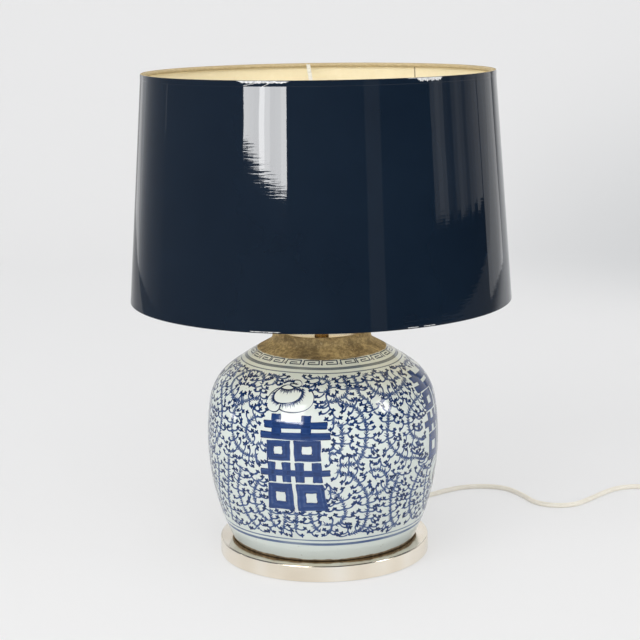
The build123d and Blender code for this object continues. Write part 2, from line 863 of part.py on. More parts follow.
def plug_pins():
    front = plug_back - plug_length
    pin = Rot(90, 0, 0) * Cylinder(pin_radius, pin_length, align=(Align.CENTER, Align.CENTER, Align.MIN))
    pin = fillet(pin.faces().sort_by(Axis.Y)[0].edges(), radius=pin_radius * 0.6)
    return Compound([
        Pos(switch_x + side * pin_spacing / 2, front, plug_mid_z) * pin for side in (-1, 1)
    ])


# ---- Every piece under its own name ------------------------------------------------------------

pieces = {
    "base_plate": base_plate,
    "base_block": base_block,
    "base_felt": base_felt,
    "cord_bushing": cord_bushing,
    "inner_cord": inner_cord,
    "rod_washer": rod_washer,
    "rod_nut": rod_nut,
    "threaded_rod": threaded_rod,
    "foot_pad": foot_pad,
    "jar": jar,
    "neck_cap": neck_cap,
    "stem_tube": stem_tube,
    "holder_cap": holder_cap,
    "holder_shell": holder_shell,
    "holder_insert": holder_insert,
    "holder_thread": holder_thread,
    "holder_contact": holder_contact,
    "bulb_cap": bulb_cap,
    "bulb_base": bulb_base,
    "bulb_glass": bulb_glass,
    "harp_saddle": harp_saddle,
    "harp_wire": harp_wire,
    "harp_sleeves": harp_sleeves,
    "harp_stud": harp_stud,
    "finial": finial,
    "spider": spider,
    "shade_wall": shade_wall,
    "shade_lining": shade_lining,
    "top_ring": lambda: wire_ring(ring_top_z()),
    "bottom_ring": lambda: wire_ring(shade_bottom_z + ring_wire_radius),
    "top_edging": top_edging,
    "bottom_edging": bottom_edging,
    "cord_to_switch": lambda: cord_run(route_to_switch),
    "switch_base": switch_base,
    "switch_cover": switch_cover,
    "switch_rocker": switch_rocker,
    "switch_screws": switch_screws,
    "cord_to_coil": lambda: cord_run(route_to_coil),
    "cord_coil": cord_coil,
    "cord_to_plug": lambda: cord_run(route_to_plug),
    "plug_body": plug_body,
    "plug_pins": plug_pins,
}

os.makedirs("parts", exist_ok=True)
for name, make in pieces.items():
    export_step(make(), f"parts/{name}.step")
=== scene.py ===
import math

import bmesh
import bpy
import numpy as np
from mathutils import Matrix


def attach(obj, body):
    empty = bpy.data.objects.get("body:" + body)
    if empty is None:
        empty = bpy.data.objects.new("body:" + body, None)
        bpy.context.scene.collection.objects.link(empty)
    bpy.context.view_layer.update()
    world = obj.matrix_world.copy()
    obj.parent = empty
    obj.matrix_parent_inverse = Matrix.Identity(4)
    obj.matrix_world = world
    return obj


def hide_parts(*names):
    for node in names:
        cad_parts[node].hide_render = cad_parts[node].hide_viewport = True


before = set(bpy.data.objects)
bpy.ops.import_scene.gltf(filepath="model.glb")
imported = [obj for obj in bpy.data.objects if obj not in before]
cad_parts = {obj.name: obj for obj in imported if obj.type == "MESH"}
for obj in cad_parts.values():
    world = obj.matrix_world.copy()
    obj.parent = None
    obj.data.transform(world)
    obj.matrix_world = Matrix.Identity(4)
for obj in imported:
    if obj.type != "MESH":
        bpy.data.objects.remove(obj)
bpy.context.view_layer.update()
scene = bpy.context.scene
scene.view_settings.view_transform = "Standard"

# ---- The room ----------------------------------------------------------------------------------
# A pale floor that fades into a pale wall, a camera a little above the shade, and soft panels to
# the sides. None of it belongs to the lamp.

mm = 0.001


def grid_faces(rows, columns, joined=False, first=0):
    """Quads of a grid of rows by columns points; joined closes the last column onto the first."""
    index = first + np.arange(rows * columns).reshape(rows, columns)
    if joined:
        index = np.hstack([index, index[:, :1]])
    corners = [index[:-1, :-1], index[:-1, 1:], index[1:, 1:], index[1:, :-1]]
    return np.stack(corners, -1).reshape(-1, 4)


def mesh_piece(name, points, faces):
    """An object whose mesh has those points and faces, with its origin on the table."""
    mesh = bpy.data.meshes.new(name)
    mesh.from_pydata(np.asarray(points).reshape(-1, 3), [], np.asarray(faces).tolist())
    piece = bpy.data.objects.new(name, mesh)
    scene.collection.objects.link(piece)
    return piece


def feed(tree, socket, value):
    """Links a node's output to a socket, or gives the socket a plain value."""
    if isinstance(value, bpy.types.Node):
        value = value.outputs[0]
    if isinstance(value, bpy.types.NodeSocket):
        tree.links.new(value, socket)
    else:
        socket.default_value = (*value, 1) if socket.type == "RGBA" else value


def add_node(tree, kind, inputs, **settings):
    """Shader node with its settings, and with its inputs fed by name or by place."""
    node = tree.nodes.new("ShaderNode" + kind)
    for setting, value in settings.items():
        setattr(node, setting, value)
    for key, value in inputs.items():
        feed(tree, node.inputs[key], value)
    return node


class Finish:
    """A material: one principled shader, and the nodes that feed it from the piece's own coordinates."""

    def __init__(self, name, color, roughness=0.5, metallic=0.0):
        self.material = bpy.data.materials.new(name)
        self.material.use_nodes = True
        self.tree = self.material.node_tree
        self.shader = self.tree.nodes["Principled BSDF"]
        self.place = self.node("TexCoord", {}).outputs["Object"]
        for socket, value in (("Base Color", color), ("Roughness", roughness), ("Metallic", metallic)):
            self.set(socket, value)

    def set(self, socket, value):
        feed(self.tree, self.shader.inputs[socket], value)

    def node(self, kind, inputs, **settings):
        return add_node(self.tree, kind, inputs, **settings)

    def noise(self, scale, detail=4.0, roughness=0.6, stretch=(1, 1, 1)):
        mapping = self.node("Mapping", {"Vector": self.place, "Scale": stretch})
        inputs = {"Vector": mapping, "Scale": scale, "Detail": detail, "Roughness": roughness}
        return self.node("TexNoise", inputs).outputs["Fac"]

    def axis(self, name):
        return self.node("SeparateXYZ", {0: self.place}).outputs[name]

    def vector(self, operation, other):
        """Number from the place and another vector, such as their distance."""
        return self.node("VectorMath", {0: self.place, 1: other}, operation=operation).outputs["Value"]

    def number(self, operation, *values):
        return self.node("Math", dict(enumerate(values)), operation=operation).outputs[0]

    def span(self, value, low, high, most=1.0):
        """0 at low, most at high, smooth between and level beyond them."""
        inputs = {"Value": value, "From Min": low, "From Max": high, "To Max": most}
        return self.node("MapRange", inputs, interpolation_type="SMOOTHSTEP").outputs[0]

    def mix(self, factor, first, second, most=1.0):
        """From the first colour to the second, by the factor times most."""
        factor = factor if most == 1.0 else self.number("MULTIPLY", factor, most)
        return self.node("Mix", {0: factor, 6: first, 7: second}, data_type="RGBA").outputs[2]

    def ramp(self, factor, *stops):
        """Colour ramp; each stop is a place and a colour of three numbers, or a level."""
        node = self.node("ValToRGB", {0: factor})
        elements = node.color_ramp.elements
        while len(elements) < len(stops):
            elements.new(1.0)
        for element, (place, color) in zip(elements, stops):
            element.position = place
            element.color = (color, color, color, 1) if isinstance(color, float) else (*color, 1)
        return node.outputs["Color"]

    def bump(self, height, strength, depth):
        """Bump of that depth in metres."""
        self.set("Normal", self.node("Bump", {"Height": height, "Strength": strength, "Distance": depth}))


def pale_paper(name, color, painted_shade_tone, painted_shade_place, seen):
    """Matt paper that the camera and mirrors see at its own level, whatever light reaches it. It is painted
    darker around a place far behind the lamp, as painted shade. In mirrors it is painted darker towards both
    sides, as painted shade in what they show."""
    paper = Finish(name, color, 0.9)
    # Painted shade: the paper darkens around a place far behind the lamp.
    inputs = {"Value": paper.vector("DISTANCE", painted_shade_place), "From Min": 1.0, "From Max": 0.1}
    fall = paper.node("MapRange", inputs, interpolation_type="SMOOTHERSTEP")
    shade = paper.mix(fall, color, painted_shade_tone)
    paper.set("Base Color", shade)
    path = paper.node("LightPath", {})
    camera_ray, glossy_ray = path.outputs["Is Camera Ray"], path.outputs["Is Glossy Ray"]
    seen_directly = paper.number("MAXIMUM", camera_ray, glossy_ray)
    glow = paper.node("Emission", {"Color": shade, "Strength": seen})
    half_lit = paper.number("MULTIPLY", seen_directly, 0.5)
    lit = paper.node("MixShader", {0: half_lit, 1: paper.shader, 2: glow})
    # Painted shade in mirrors: the paper's sides show dark in glossy rays.
    sideways = paper.axis("X")
    fades = [paper.span(sideways, *fade) for fade in ((0.3, -1.5, 0.6), (1.25, 1.95, 0.85))]
    unlit = paper.number("MULTIPLY", paper.number("MAXIMUM", *fades), glossy_ray)
    dark_glow = paper.node("Emission", {"Strength": 0.05})
    faded = paper.node("MixShader", {0: unlit, 1: lit, 2: dark_glow})
    feed(paper.tree, paper.tree.nodes["Material Output"].inputs["Surface"], faded)
    return paper


sweep_start, sweep_radius, wall_top = 1.7, 0.9, 3.2
sweep_angle = np.linspace(0, math.pi / 2, 24)
side_line = np.vstack([
    [[-2.6, 0.0], [sweep_start, 0.0]],
    np.column_stack([
        sweep_start + sweep_radius * np.sin(sweep_angle),
        sweep_radius * (1 - np.cos(sweep_angle)),
    ])[1:],
    [[sweep_start + sweep_radius, wall_top]],
])
backdrop_x = np.array([-1.5, 3.0])
backdrop_points = np.stack([
    np.repeat(backdrop_x[None, :], len(side_line), 0),
    np.repeat(side_line[:, :1], 2, 1),
    np.repeat(side_line[:, 1:], 2, 1),
], -1)
backdrop = mesh_piece("backdrop", backdrop_points, grid_faces(len(side_line), 2))
backdrop.data.shade_smooth()
backdrop.data.materials.append(pale_paper(
    "paper_backdrop", (0.88, 0.88, 0.885), (0.72, 0.73, 0.74), (0.95, 1.75, 0), 0.96).material)

# Matt pieces are lit by a white room, mirrors show it dim and dimmer to the right, and the camera
# sees it grey.
scene.world = bpy.data.worlds.new("room")
scene.world.use_nodes = True
room = scene.world.node_tree
daylight = room.nodes["Background"]
feed(room, daylight.inputs["Color"], (1.0, 1.0, 1.0))
feed(room, daylight.inputs["Strength"], 0.72)
room_x = add_node(room, "SeparateXYZ", {0: add_node(room, "TexCoord", {}).outputs["Generated"]}).outputs["X"]
room_level = add_node(room, "MapRange", {
    "Value": room_x, "From Min": -1.0, "From Max": 1.0, "To Min": 0.19, "To Max": 0.01})
mirrored_room = add_node(room, "Background", {"Color": (0.75, 0.80, 0.88), "Strength": room_level})
seen_room = add_node(room, "Background", {"Color": (0.80, 0.80, 0.81)})
path = add_node(room, "LightPath", {})
unseen_room = add_node(room, "MixShader", {0: path.outputs["Is Glossy Ray"], 1: daylight, 2: mirrored_room})
whole_room = add_node(room, "MixShader", {0: path.outputs["Is Camera Ray"], 1: unseen_room, 2: seen_room})
feed(room, room.nodes["World Output"].inputs["Surface"], whole_room)


def upright_panel(name, left, right, distance, low, high, brightness, mirrored=True):
    """Light panel that faces the lamp's axis between two azimuths from the front, positive to the right.
    A mirrored panel only shows in glossy surfaces, and any other only lights the matt ones."""
    middle, spread = math.radians(left + right) / 2, math.radians(right - left)
    light = bpy.data.lights.new(name, "AREA")
    light.shape = "RECTANGLE"
    light.size, light.size_y = 2 * distance * math.tan(spread / 2), high - low
    light.energy = brightness * light.size * light.size_y
    panel = bpy.data.objects.new(name, light)
    panel.location = (distance * math.sin(middle), -distance * math.cos(middle), (low + high) / 2)
    facing = Matrix.Rotation(middle, 4, "Z") @ Matrix.Rotation(math.radians(90), 4, "X")
    panel.rotation_euler = facing.to_euler()
    panel.visible_camera, panel.visible_glossy, panel.visible_diffuse = False, mirrored, not mirrored
    scene.collection.objects.link(panel)
    return panel


def panel_row(name, left, width, distance, foot, high, levels, slope=0.0, wave=0.0):
    """Mirrored panels side by side from an azimuth, one for each level of brightness. The foot of
    number i lies at foot + slope * i + wave * sin(2.7 * i)."""
    for i, brightness in enumerate(levels):
        edge, low = left + width * i, foot + slope * i + wave * math.sin(2.7 * i)
        upright_panel(f"{name}_{i + 1}", edge, edge + width, distance, low, high, brightness)


upright_panel("lamp_left", -58, -24, 2.3, 0.9, 2.6, 9.4, mirrored=False)
upright_panel("lamp_right", 45, 72, 2.3, 0.9, 2.3, 3.2, mirrored=False)
over_shade = upright_panel("lamp_over_shade", -20, 20, 1.9, 1.5, 2.5, 11.0, mirrored=False)
over_shade.rotation_euler = (math.radians(42), 0, 0)

# The tall window on the left ends in a slope, so it is a row of narrow panels. The sky above it
# shows in the jar alone.
window_distance, wall_distance, wall_height = 6.4, 2.3, 1.2
panel_row(
    "window", -46.5, 27.0 / 8, window_distance, 0.670, 1.137, (44, 43, 42, 60, 48, 42, 43, 47), slope=-0.0205)
upright_panel("window_sky", -44.5, -19, window_distance, 1.35, 6.9, 15)
upright_panel("side_glint", -97, -89, 0.6, 0.104, 0.138, 20)
upright_panel("window_right", 62, 75, window_distance, 1.5, 4.8, 25)

# A pale wall that darkens towards the lamp's left, folds of a curtain on its right with a second
# wall behind them, and the edge of a door in front.
left_wall_levels = [1.8 * 0.71 ** max(i - 3, 0) for i in range(12)]
fold_levels = (1.2, 1.8, 1.4, 0.4, 0.25, 0.8, 1.2, 0.9, 0.5, 0.9, 1.1, 1.4, 1.5)
panel_row("wall", -155, 4, wall_distance, 0.0, wall_height, left_wall_levels)
upright_panel("wall_corner", -107.8, -107, wall_distance, 0.4, wall_height, 1.0)
panel_row("curtain", 71, 3.4, wall_distance, 0.285, wall_height, fold_levels, slope=-0.006, wave=0.010)
panel_row("wall_right", 116, 5, wall_distance, 0.0, wall_height, (1.6, 1.8, 1.8, 2.0, 2.4))
upright_panel("door_edge", 27.3, 36.6, wall_distance, -0.2, wall_height, 0.5)

camera_distance, camera_height = 1.5074, 0.5218
camera_pitch, camera_roll = 0.19082, -0.0135
focal_length_px, photo_width = 1658.75, 640
camera = bpy.data.objects.new("camera", bpy.data.cameras.new("camera"))
camera.data.sensor_width = 36
camera.data.lens = 36 * focal_length_px / photo_width
camera.data.shift_x = -1.31 / photo_width
camera.data.shift_y = -11.05 / photo_width
camera.location = (0, -camera_distance, camera_height)
aim = Matrix.Rotation(math.pi / 2 - camera_pitch, 3, "X") @ Matrix.Rotation(camera_roll, 3, "Z")
camera.rotation_euler = aim.to_euler()
scene.collection.objects.link(camera)
scene.camera = camera

# ---- Felt, wooden block and spun plate ---------------------------------------------------------
# The felt is glued under a turned block, and the block fills a shell of spun metal. The shell is
# silver-plated, and its lower edge is turned in under the block.


def plain_finish(name, color, dark, roughness, metallic=0.0, scale=300.0, bump=0.15, stretch=(1, 1, 1)):
    """Finish of one colour with a fine grain: colour, roughness and bump all follow one noise."""
    finish = Finish(name, color, roughness, metallic)
    grain = finish.noise(scale, stretch=stretch)
    finish.set("Base Color", finish.ramp(grain, (0.3, dark), (0.7, color)))
    finish.set("Roughness", finish.ramp(grain, (0.3, max(roughness - 0.08, 0.02)), (0.7, roughness + 0.08)))
    finish.bump(grain, bump, 0.0002)
    return finish


def dress(finish, *node_names):
    """Puts a finish on CAD nodes."""
    for name in node_names:
        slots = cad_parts[name].data.materials
        slots.clear()
        slots.append(finish.material)


def spin(name, outline, replaced, body, finishes, around=256, sharp=35):
    """Closed surface of revolution: every point (radius, height) of a closed outline goes round the
    axis. It stands for a CAD node and rides on a body."""
    radius, height = np.array(outline, float).T * mm
    angle = np.linspace(0, 2 * math.pi, around, endpoint=False)
    points = np.stack([
        radius[:, None] * np.sin(angle),
        -radius[:, None] * np.cos(angle),
        np.repeat(height[:, None], around, 1),
    ], -1)
    rows = len(radius)
    faces = grid_faces(rows, around, joined=True)
    last, first = (rows - 1) * around + np.arange(around), np.arange(around)
    seam = np.stack([last, np.roll(last, -1), np.roll(first, -1), first], -1)
    piece = mesh_piece(name, points, np.vstack([faces, seam]))
    shell = bmesh.new()
    shell.from_mesh(piece.data)
    bmesh.ops.remove_doubles(shell, verts=shell.verts, dist=1e-7)
    bmesh.ops.recalc_face_normals(shell, faces=shell.faces)
    shell.to_mesh(piece.data)
    shell.free()
    piece.data.shade_smooth()
    piece.data.set_sharp_from_angle(angle=math.radians(sharp))
    for finish in finishes:
        piece.data.materials.append(finish.material)
    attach(piece, body)
    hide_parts(replaced)
    return piece


def rounded(corner, start_angle, radius, steps=8):
    """Quarter circle about a corner's centre, from an angle in degrees, turning anticlockwise."""
    angle = np.radians(np.linspace(start_angle, start_angle + 90, steps))
    return [(corner[0] + radius * c, corner[1] + radius * s) for c, s in zip(np.cos(angle), np.sin(angle))]


dress(plain_finish(
    "felt", (0.05, 0.045, 0.04), (0.02, 0.018, 0.016), 0.95, scale=900, bump=0.6), "base_felt")
dress(plain_finish(
    "turned_wood", (0.36, 0.22, 0.12), (0.25, 0.14, 0.07), 0.6, scale=60, stretch=(1, 8, 1)), "base_block")
dress(plain_finish(
    "cork_ring", (0.06, 0.045, 0.03), (0.03, 0.02, 0.015), 0.9, scale=700, bump=0.5), "foot_pad")

# Silver plate: soft upright patches, lighter and darker, of wear and of painted sheen standing in for
# reflected streaks, and fine lathe lines that follow the distance from the axis.
silver = Finish("silver_plate", (0.93, 0.83, 0.69), 0.09, 1.0)
wear_and_sheen = silver.noise(22, detail=1, stretch=(1, 1, 0.2))
flat_place = silver.node("VectorMath", {0: silver.place, 1: (1, 1, 0)}, operation="MULTIPLY")
from_axis = silver.node("VectorMath", {0: flat_place}, operation="LENGTH").outputs["Value"]
lathe_place = silver.node("CombineXYZ", {0: from_axis, 1: silver.axis("Z")})
lathe_lines = silver.node("TexNoise", {"Vector": lathe_place, "Scale": 1600, "Detail": 2}).outputs["Fac"]
silver.set("Base Color", silver.ramp(
    wear_and_sheen, (0.30, (0.87, 0.78, 0.64)), (0.50, (0.94, 0.865, 0.74)), (0.70, (0.99, 0.945, 0.865))))
silver.set("Roughness", silver.ramp(wear_and_sheen, (0.3, 0.20), (0.6, 0.12)))
silver.bump(lathe_lines, 1.0, 0.000004)
silver.set("Anisotropic", 0.6)

plate_radius, plate_top, plate_lift = 98.0, 15.8, 0.8
plate_wall, plate_lip, plate_edge = 1.2, 4.0, 1.4
rod_hole = 5.2
plate_outline = [
    (rod_hole, plate_top - plate_wall),
    (plate_radius - plate_wall, plate_top - plate_wall),
    (plate_radius - plate_wall, plate_lift + plate_wall),
    (plate_radius - plate_wall - plate_lip, plate_lift + plate_wall),
    (plate_radius - plate_wall - plate_lip, plate_lift),
    *rounded((plate_radius - 0.5, plate_lift + 0.5), -90, 0.5, 5),
    *rounded((plate_radius - plate_edge, plate_top - plate_edge), 0, plate_edge),
    (60.0, plate_top),
    (rod_hole, plate_top),
]
spin("spun_plate", plate_outline, "base_plate", "base", [silver])

# ---- Threaded tube, nut, washer, cord bushing and inner cord -----------------------------------
# Zinc-plated hardware under the plate holds the tube that runs up through the jar. The cord comes
# in through a moulded bushing at the back and goes up inside the tube.

zinc = plain_finish("zinc_plate", (0.60, 0.60, 0.58), (0.42, 0.42, 0.41), 0.38, 1.0, scale=500)
ivory_plastic = plain_finish(
    "ivory_plastic", (0.83, 0.76, 0.60), (0.76, 0.68, 0.51), 0.34, scale=180, bump=0.05)
cord_sheath = plain_finish(
    "ivory_sheath", (0.93, 0.89, 0.80), (0.88, 0.83, 0.72), 0.38, scale=120, bump=0.08)
dress(zinc, "threaded_rod", "rod_nut", "rod_washer", "switch_screws")
dress(ivory_plastic, "cord_bushing", "switch_base", "switch_cover", "switch_rocker", "plug_body")
dress(cord_sheath, "inner_cord")

# ---- Ginger jar --------------------------------------------------------------------------------
# Thrown and turned porcelain under a pale blue-green glaze. The neck and the foot's edge are bare,
# and have taken up brown stains. The jar stands on the plate on a thin dark ring.


def tangent_arc(start, heading, end, steps):
    """Points of the arc that leaves start along a heading and reaches end, and the heading there."""
    start, heading, end = (np.array(v, float) for v in (start, heading, end))
    heading = heading / np.hypot(*heading)
    side = np.array([-heading[1], heading[0]])
    chord = end - start
    turn = 2 * np.arctan2(chord @ side, chord @ heading)
    radius = chord @ chord / (2 * chord @ side)
    angle = np.linspace(0, turn, steps)[:, None]
    points = start + radius * (np.sin(angle) * heading + (1 - np.cos(angle)) * side)
    return points, np.cos(turn) * heading + np.sin(turn) * side


jar_belly = (107.7, 112.0)
jar_foot = (86.0, 16.6)
lower_arc, _ = tangent_arc(jar_belly, (0, -1), jar_foot, 70)
upper_arc, heading = tangent_arc(jar_belly, (0, 1), (104.9, 148.0), 28)
turn_arc, heading = tangent_arc(upper_arc[-1], heading, (86.0, 179.0), 44)
shoulder_arc, heading = tangent_arc(turn_arc[-1], heading, (50.0, 201.3), 36)
neck_arc, _ = tangent_arc(shoulder_arc[-1], heading, (45.6, 207.6), 12)
rim_top, rim_out, rim_in = 212.0, 44.6, 39.6
jar_flank = np.vstack([lower_arc[::-1], upper_arc[1:], turn_arc[1:], shoulder_arc[1:], neck_arc[1:]])
rim_curve = [
    *rounded((rim_out - 1.6, rim_top - 1.6), 0, 1.6, 6), *rounded((rim_in + 1.2, rim_top - 1.2), 90, 1.2, 5)]
jar_outline = np.vstack([
    jar_flank,
    rim_curve,
    [(rim_in, 200.0), (44.0, 197.4), (78.0, 178.6), (98.0, 150.0), (102.7, 112.0), (98.0, 70.0)],
    [(84.5, 28.1), (rod_hole, 28.1), (rod_hole, 21.1), (77.5, 21.1), (79.5, 16.6)],
])
# Distance down the outside from the rim is the height that the painting is laid out in.
paint_line = np.vstack([jar_flank, [(rim_out, rim_top)]])[::-1]
paint_down = np.concatenate([[0], np.cumsum(np.hypot(*np.diff(paint_line, axis=0).T))])
slope_r = np.gradient(paint_line[:, 0], paint_down)
slope_z = np.gradient(paint_line[:, 1], paint_down)


def jar_radius(down):
    return np.interp(down, paint_down, paint_line[:, 0])


def on_jar(azimuth, down, lift):
    """Point at an azimuth from the front and a distance down from the rim, and the glaze's normal there."""
    radius, height = jar_radius(down), np.interp(down, paint_down, paint_line[:, 1])
    out, up = -np.interp(down, paint_down, slope_z), np.interp(down, paint_down, slope_r)
    size = np.hypot(out, up)
    out, up = out / size, up / size
    sideways, forward = np.sin(azimuth), -np.cos(azimuth)
    reach = radius + lift * out
    points = np.stack([reach * sideways, reach * forward, height + lift * up], -1) * mm
    normals = np.stack([out * sideways, out * forward, up], -1)
    return points, normals


glaze = Finish("glazed_porcelain", (0.66, 0.69, 0.62), 0.1)
level = glaze.axis("Z")
clouds = glaze.noise(22, detail=3)
# Higher up the glaze is painted lighter, as painted light on the shoulder where the lampshade shades it.
body_with_painted_light = glaze.mix(glaze.span(level, 0.06, 0.195), (0.65, 0.705, 0.67), (0.84, 0.91, 0.90))
cloud_color = glaze.mix(clouds, (0.55, 0.62, 0.59), (0.74, 0.77, 0.73))
glaze_color = glaze.mix(clouds, body_with_painted_light, cloud_color, most=0.75)
specks = glaze.span(glaze.noise(330, detail=2), 0.70, 0.76)
glaze_color = glaze.mix(specks, glaze_color, (0.24, 0.19, 0.12), most=0.45)

# Each painted place carries its ink, which the wash of the brush makes darker or paler.
ink = glaze.node("Attribute", {}, attribute_name="ink").outputs["Fac"]
wash = glaze.noise(260, detail=4, stretch=(0.35, 0.35, 1.6))
ink_color = glaze.ramp(
    glaze.number("MULTIPLY", ink, glaze.number("MULTIPLY_ADD", wash, 0.5, 0.75)),
    (0.0, (0.60, 0.64, 0.62)), (0.16, (0.27, 0.33, 0.40)), (0.32, (0.105, 0.155, 0.27)),
    (0.52, (0.016, 0.052, 0.19)), (0.72, (0.008, 0.026, 0.095)), (1.0, (0.003, 0.008, 0.028)))
ink_color = glaze.mix(glaze.span(level, 0.180, 0.190), ink_color, (0.10, 0.125, 0.14), most=0.55)
glaze_color = glaze.mix(glaze.span(ink, 0.0, 0.12), glaze_color, ink_color)

# The bare clay begins at uneven lines. At the foot it shows less in front than at the sides.
neck_line, foot_line = (0.1966, 0.1972), (0.0215, 0.0205)
unevenness = glaze.noise(60, detail=5)
bare_neck = glaze.span(glaze.number("MULTIPLY_ADD", unevenness, 0.0022, level), *neck_line)
foot_level = glaze.number("MULTIPLY_ADD", unevenness, 0.004, level)
front_lift = glaze.number("MULTIPLY_ADD", glaze.number("ABSOLUTE", glaze.axis("X")), -0.022, 0.0013)
bare_foot = glaze.span(glaze.number("ADD", foot_level, front_lift), *foot_line)
stains = glaze.noise(44, detail=8, roughness=0.78, stretch=(1, 1, 1.6))
grit = glaze.noise(320, detail=5)
neck_color = glaze.ramp(
    stains, (0.30, (0.065, 0.045, 0.020)), (0.40, (0.25, 0.18, 0.08)), (0.52, (0.50, 0.38, 0.185)),
    (0.72, (0.62, 0.49, 0.26)))
neck_color = glaze.mix(glaze.span(grit, 0.40, 0.58), neck_color, (0.13, 0.09, 0.04), most=0.55)
neck_color = glaze.mix(glaze.span(grit, 0.62, 0.72), neck_color, (0.70, 0.60, 0.38), most=0.6)
from_blot = glaze.vector("DISTANCE", (-0.0143, -0.050, 0.203))
blot = glaze.span(glaze.number("MULTIPLY_ADD", unevenness, 0.034, from_blot), 0.032, 0.018)
neck_color = glaze.mix(blot, neck_color, (0.045, 0.030, 0.014), most=0.55)
foot_color = glaze.ramp(grit, (0.35, (0.10, 0.065, 0.03)), (0.65, (0.28, 0.20, 0.105)))
glazed_or_neck = glaze.mix(bare_neck, glaze_color, neck_color)
glaze.set("Base Color", glaze.mix(bare_foot, glazed_or_neck, foot_color))
bare = glaze.number("MAXIMUM", bare_neck, bare_foot)
glaze.set("Roughness", glaze.number("MULTIPLY_ADD", bare, 0.72, 0.075))
bare_grit = glaze.number("MULTIPLY", glaze.number("MULTIPLY", grit, bare), 0.8)
glaze.bump(glaze.number("MULTIPLY_ADD", glaze.noise(70, detail=2), 0.35, bare_grit), 0.35, 0.0006)
spin("ginger_jar", jar_outline, "jar", "base", [glaze], around=288, sharp=50)

# ---- Brush painting on the jar -----------------------------------------------------------------
# Cobalt blue laid on with a brush under the glaze: rings, a key fret, four upright emblems, a
# flower over each, and scrolls with hooked leaves over all the rest.


def painting(name, sheets):
    """One mesh of paint from sheets; a sheet is azimuth, distance down, ink and lift on a grid of
    strokes by steps by places across, with a flag for each stroke and step that keeps it. The bake's
    map runs with the ink one way and along the stroke the other, so strokes of like ink share it."""
    points, normals, inks, faces, places, first = [], [], [], [], [], 0
    for azimuth, down, tone, lift, keep in sheets:
        where, facing = on_jar(azimuth, down, lift)
        _, steps, across = azimuth.shape
        index = first + np.arange(azimuth.size).reshape(azimuth.shape)
        quads = np.stack(
            [index[:, :-1, :-1], index[:, 1:, :-1], index[:, 1:, 1:], index[:, :-1, 1:]], -1)
        kept = (keep[:, :-1] & keep[:, 1:])[:, :, None] & np.ones(across - 1, bool)
        faces.append(quads[kept])
        points.append(where.reshape(-1, 3))
        normals.append(facing.reshape(-1, 3))
        tone = np.broadcast_to(tone, azimuth.shape)
        inks.append(tone.ravel())
        along, wide = np.meshgrid(np.linspace(0, 1, steps), np.linspace(0, 1, across), indexing="ij")
        spot = [0.03 + 0.88 * tone + 0.03 * wide, np.broadcast_to(0.1 + 0.8 * along, tone.shape)]
        places.append(np.stack(spot, -1).reshape(-1, 2))
        first += azimuth.size
    points, normals, inks, faces, places = map(np.concatenate, (points, normals, inks, faces, places))
    used, compact = np.unique(faces, return_inverse=True)
    faces = compact.reshape(faces.shape)
    corner = points[used][faces[:, :3]]
    flat = np.cross(corner[:, 1] - corner[:, 0], corner[:, 2] - corner[:, 0])
    inward = (flat * normals[used][faces[:, 0]]).sum(1) < 0
    faces[inward] = faces[inward][:, ::-1]
    piece = mesh_piece(name, points[used], faces)
    piece.data.shade_smooth()
    piece.data.normals_split_custom_set_from_vertices(normals[used])
    ink_values = piece.data.attributes.new("ink", "FLOAT", "POINT").data
    ink_values.foreach_set("value", inks[used].astype(np.float32))
    loops = np.empty(len(piece.data.loops), np.int32)
    piece.data.loops.foreach_get("vertex_index", loops)
    bake_map = piece.data.uv_layers.new(name="OFBake").data
    bake_map.foreach_set("uv", places[used][loops].astype(np.float32).ravel())
    piece.data.materials.append(glaze.material)
    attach(piece, "base")


def brush(azimuth, down, heading, length, bend, curl, width, tone, swell, fade, lift):
    """Many strokes at once. Each starts at its azimuth and distance down and walks its length; its heading,
    anticlockwise from sideways, turns evenly by bend and near the tip by curl. swell is the width
    along it and fade the ink along it, both shared by all."""
    steps = len(swell)
    part = np.linspace(0, 1, steps)
    turn = heading[:, None] + bend[:, None] * part + curl[:, None] * part**3
    step = length[:, None] / (steps - 1)
    middle = (turn[:, 1:] + turn[:, :-1]) / 2
    side = np.concatenate([np.zeros((len(turn), 1)), np.cumsum(np.cos(middle) * step, 1)], 1)
    drop = np.concatenate([np.zeros((len(turn), 1)), np.cumsum(np.sin(middle) * step, 1)], 1)
    half = width[:, None] * np.asarray(swell) / 2
    cross = np.array([-1.0, 0.0, 1.0])
    side = side[:, :, None] - np.sin(turn)[:, :, None] * half[:, :, None] * cross
    drop = drop[:, :, None] + np.cos(turn)[:, :, None] * half[:, :, None] * cross
    soft = 1 - 0.22 * np.abs(cross)
    inks = tone[:, None, None] * np.asarray(fade)[None, :, None] * soft
    azimuths = azimuth[:, None, None] + side / jar_radius(down)[:, None, None]
    downs = down[:, None, None] + drop
    return azimuths, downs, inks, lift, np.ones((len(azimuth), steps), bool)


def line(sideways, downs, width, tone, lift, across=3, swell=1.0, radius=None):
    """One stroke along given points, as a sheet of a single stroke. Its points are azimuths, or
    millimetres sideways where the radius is given as 1."""
    sideways, downs = np.asarray(sideways, float), np.asarray(downs, float)
    radius = jar_radius(downs) if radius is None else np.full(sideways.shape, float(radius))
    run_x, run_y = np.gradient(sideways) * radius, np.gradient(downs)
    size = np.hypot(run_x, run_y) + 1e-9
    half = np.broadcast_to(np.asarray(width * swell, float) / 2, sideways.shape)
    cross = np.linspace(-1, 1, across)
    sheet_x = sideways[:, None] - (run_y / size * half / radius)[:, None] * cross
    sheet_y = downs[:, None] + (run_x / size * half)[:, None] * cross
    inks = np.broadcast_to(np.asarray(tone, float), sideways.shape)[:, None] * (1 - 0.2 * np.abs(cross))
    return sheet_x[None], sheet_y[None], inks[None], lift, np.ones((1, len(sideways)), bool)


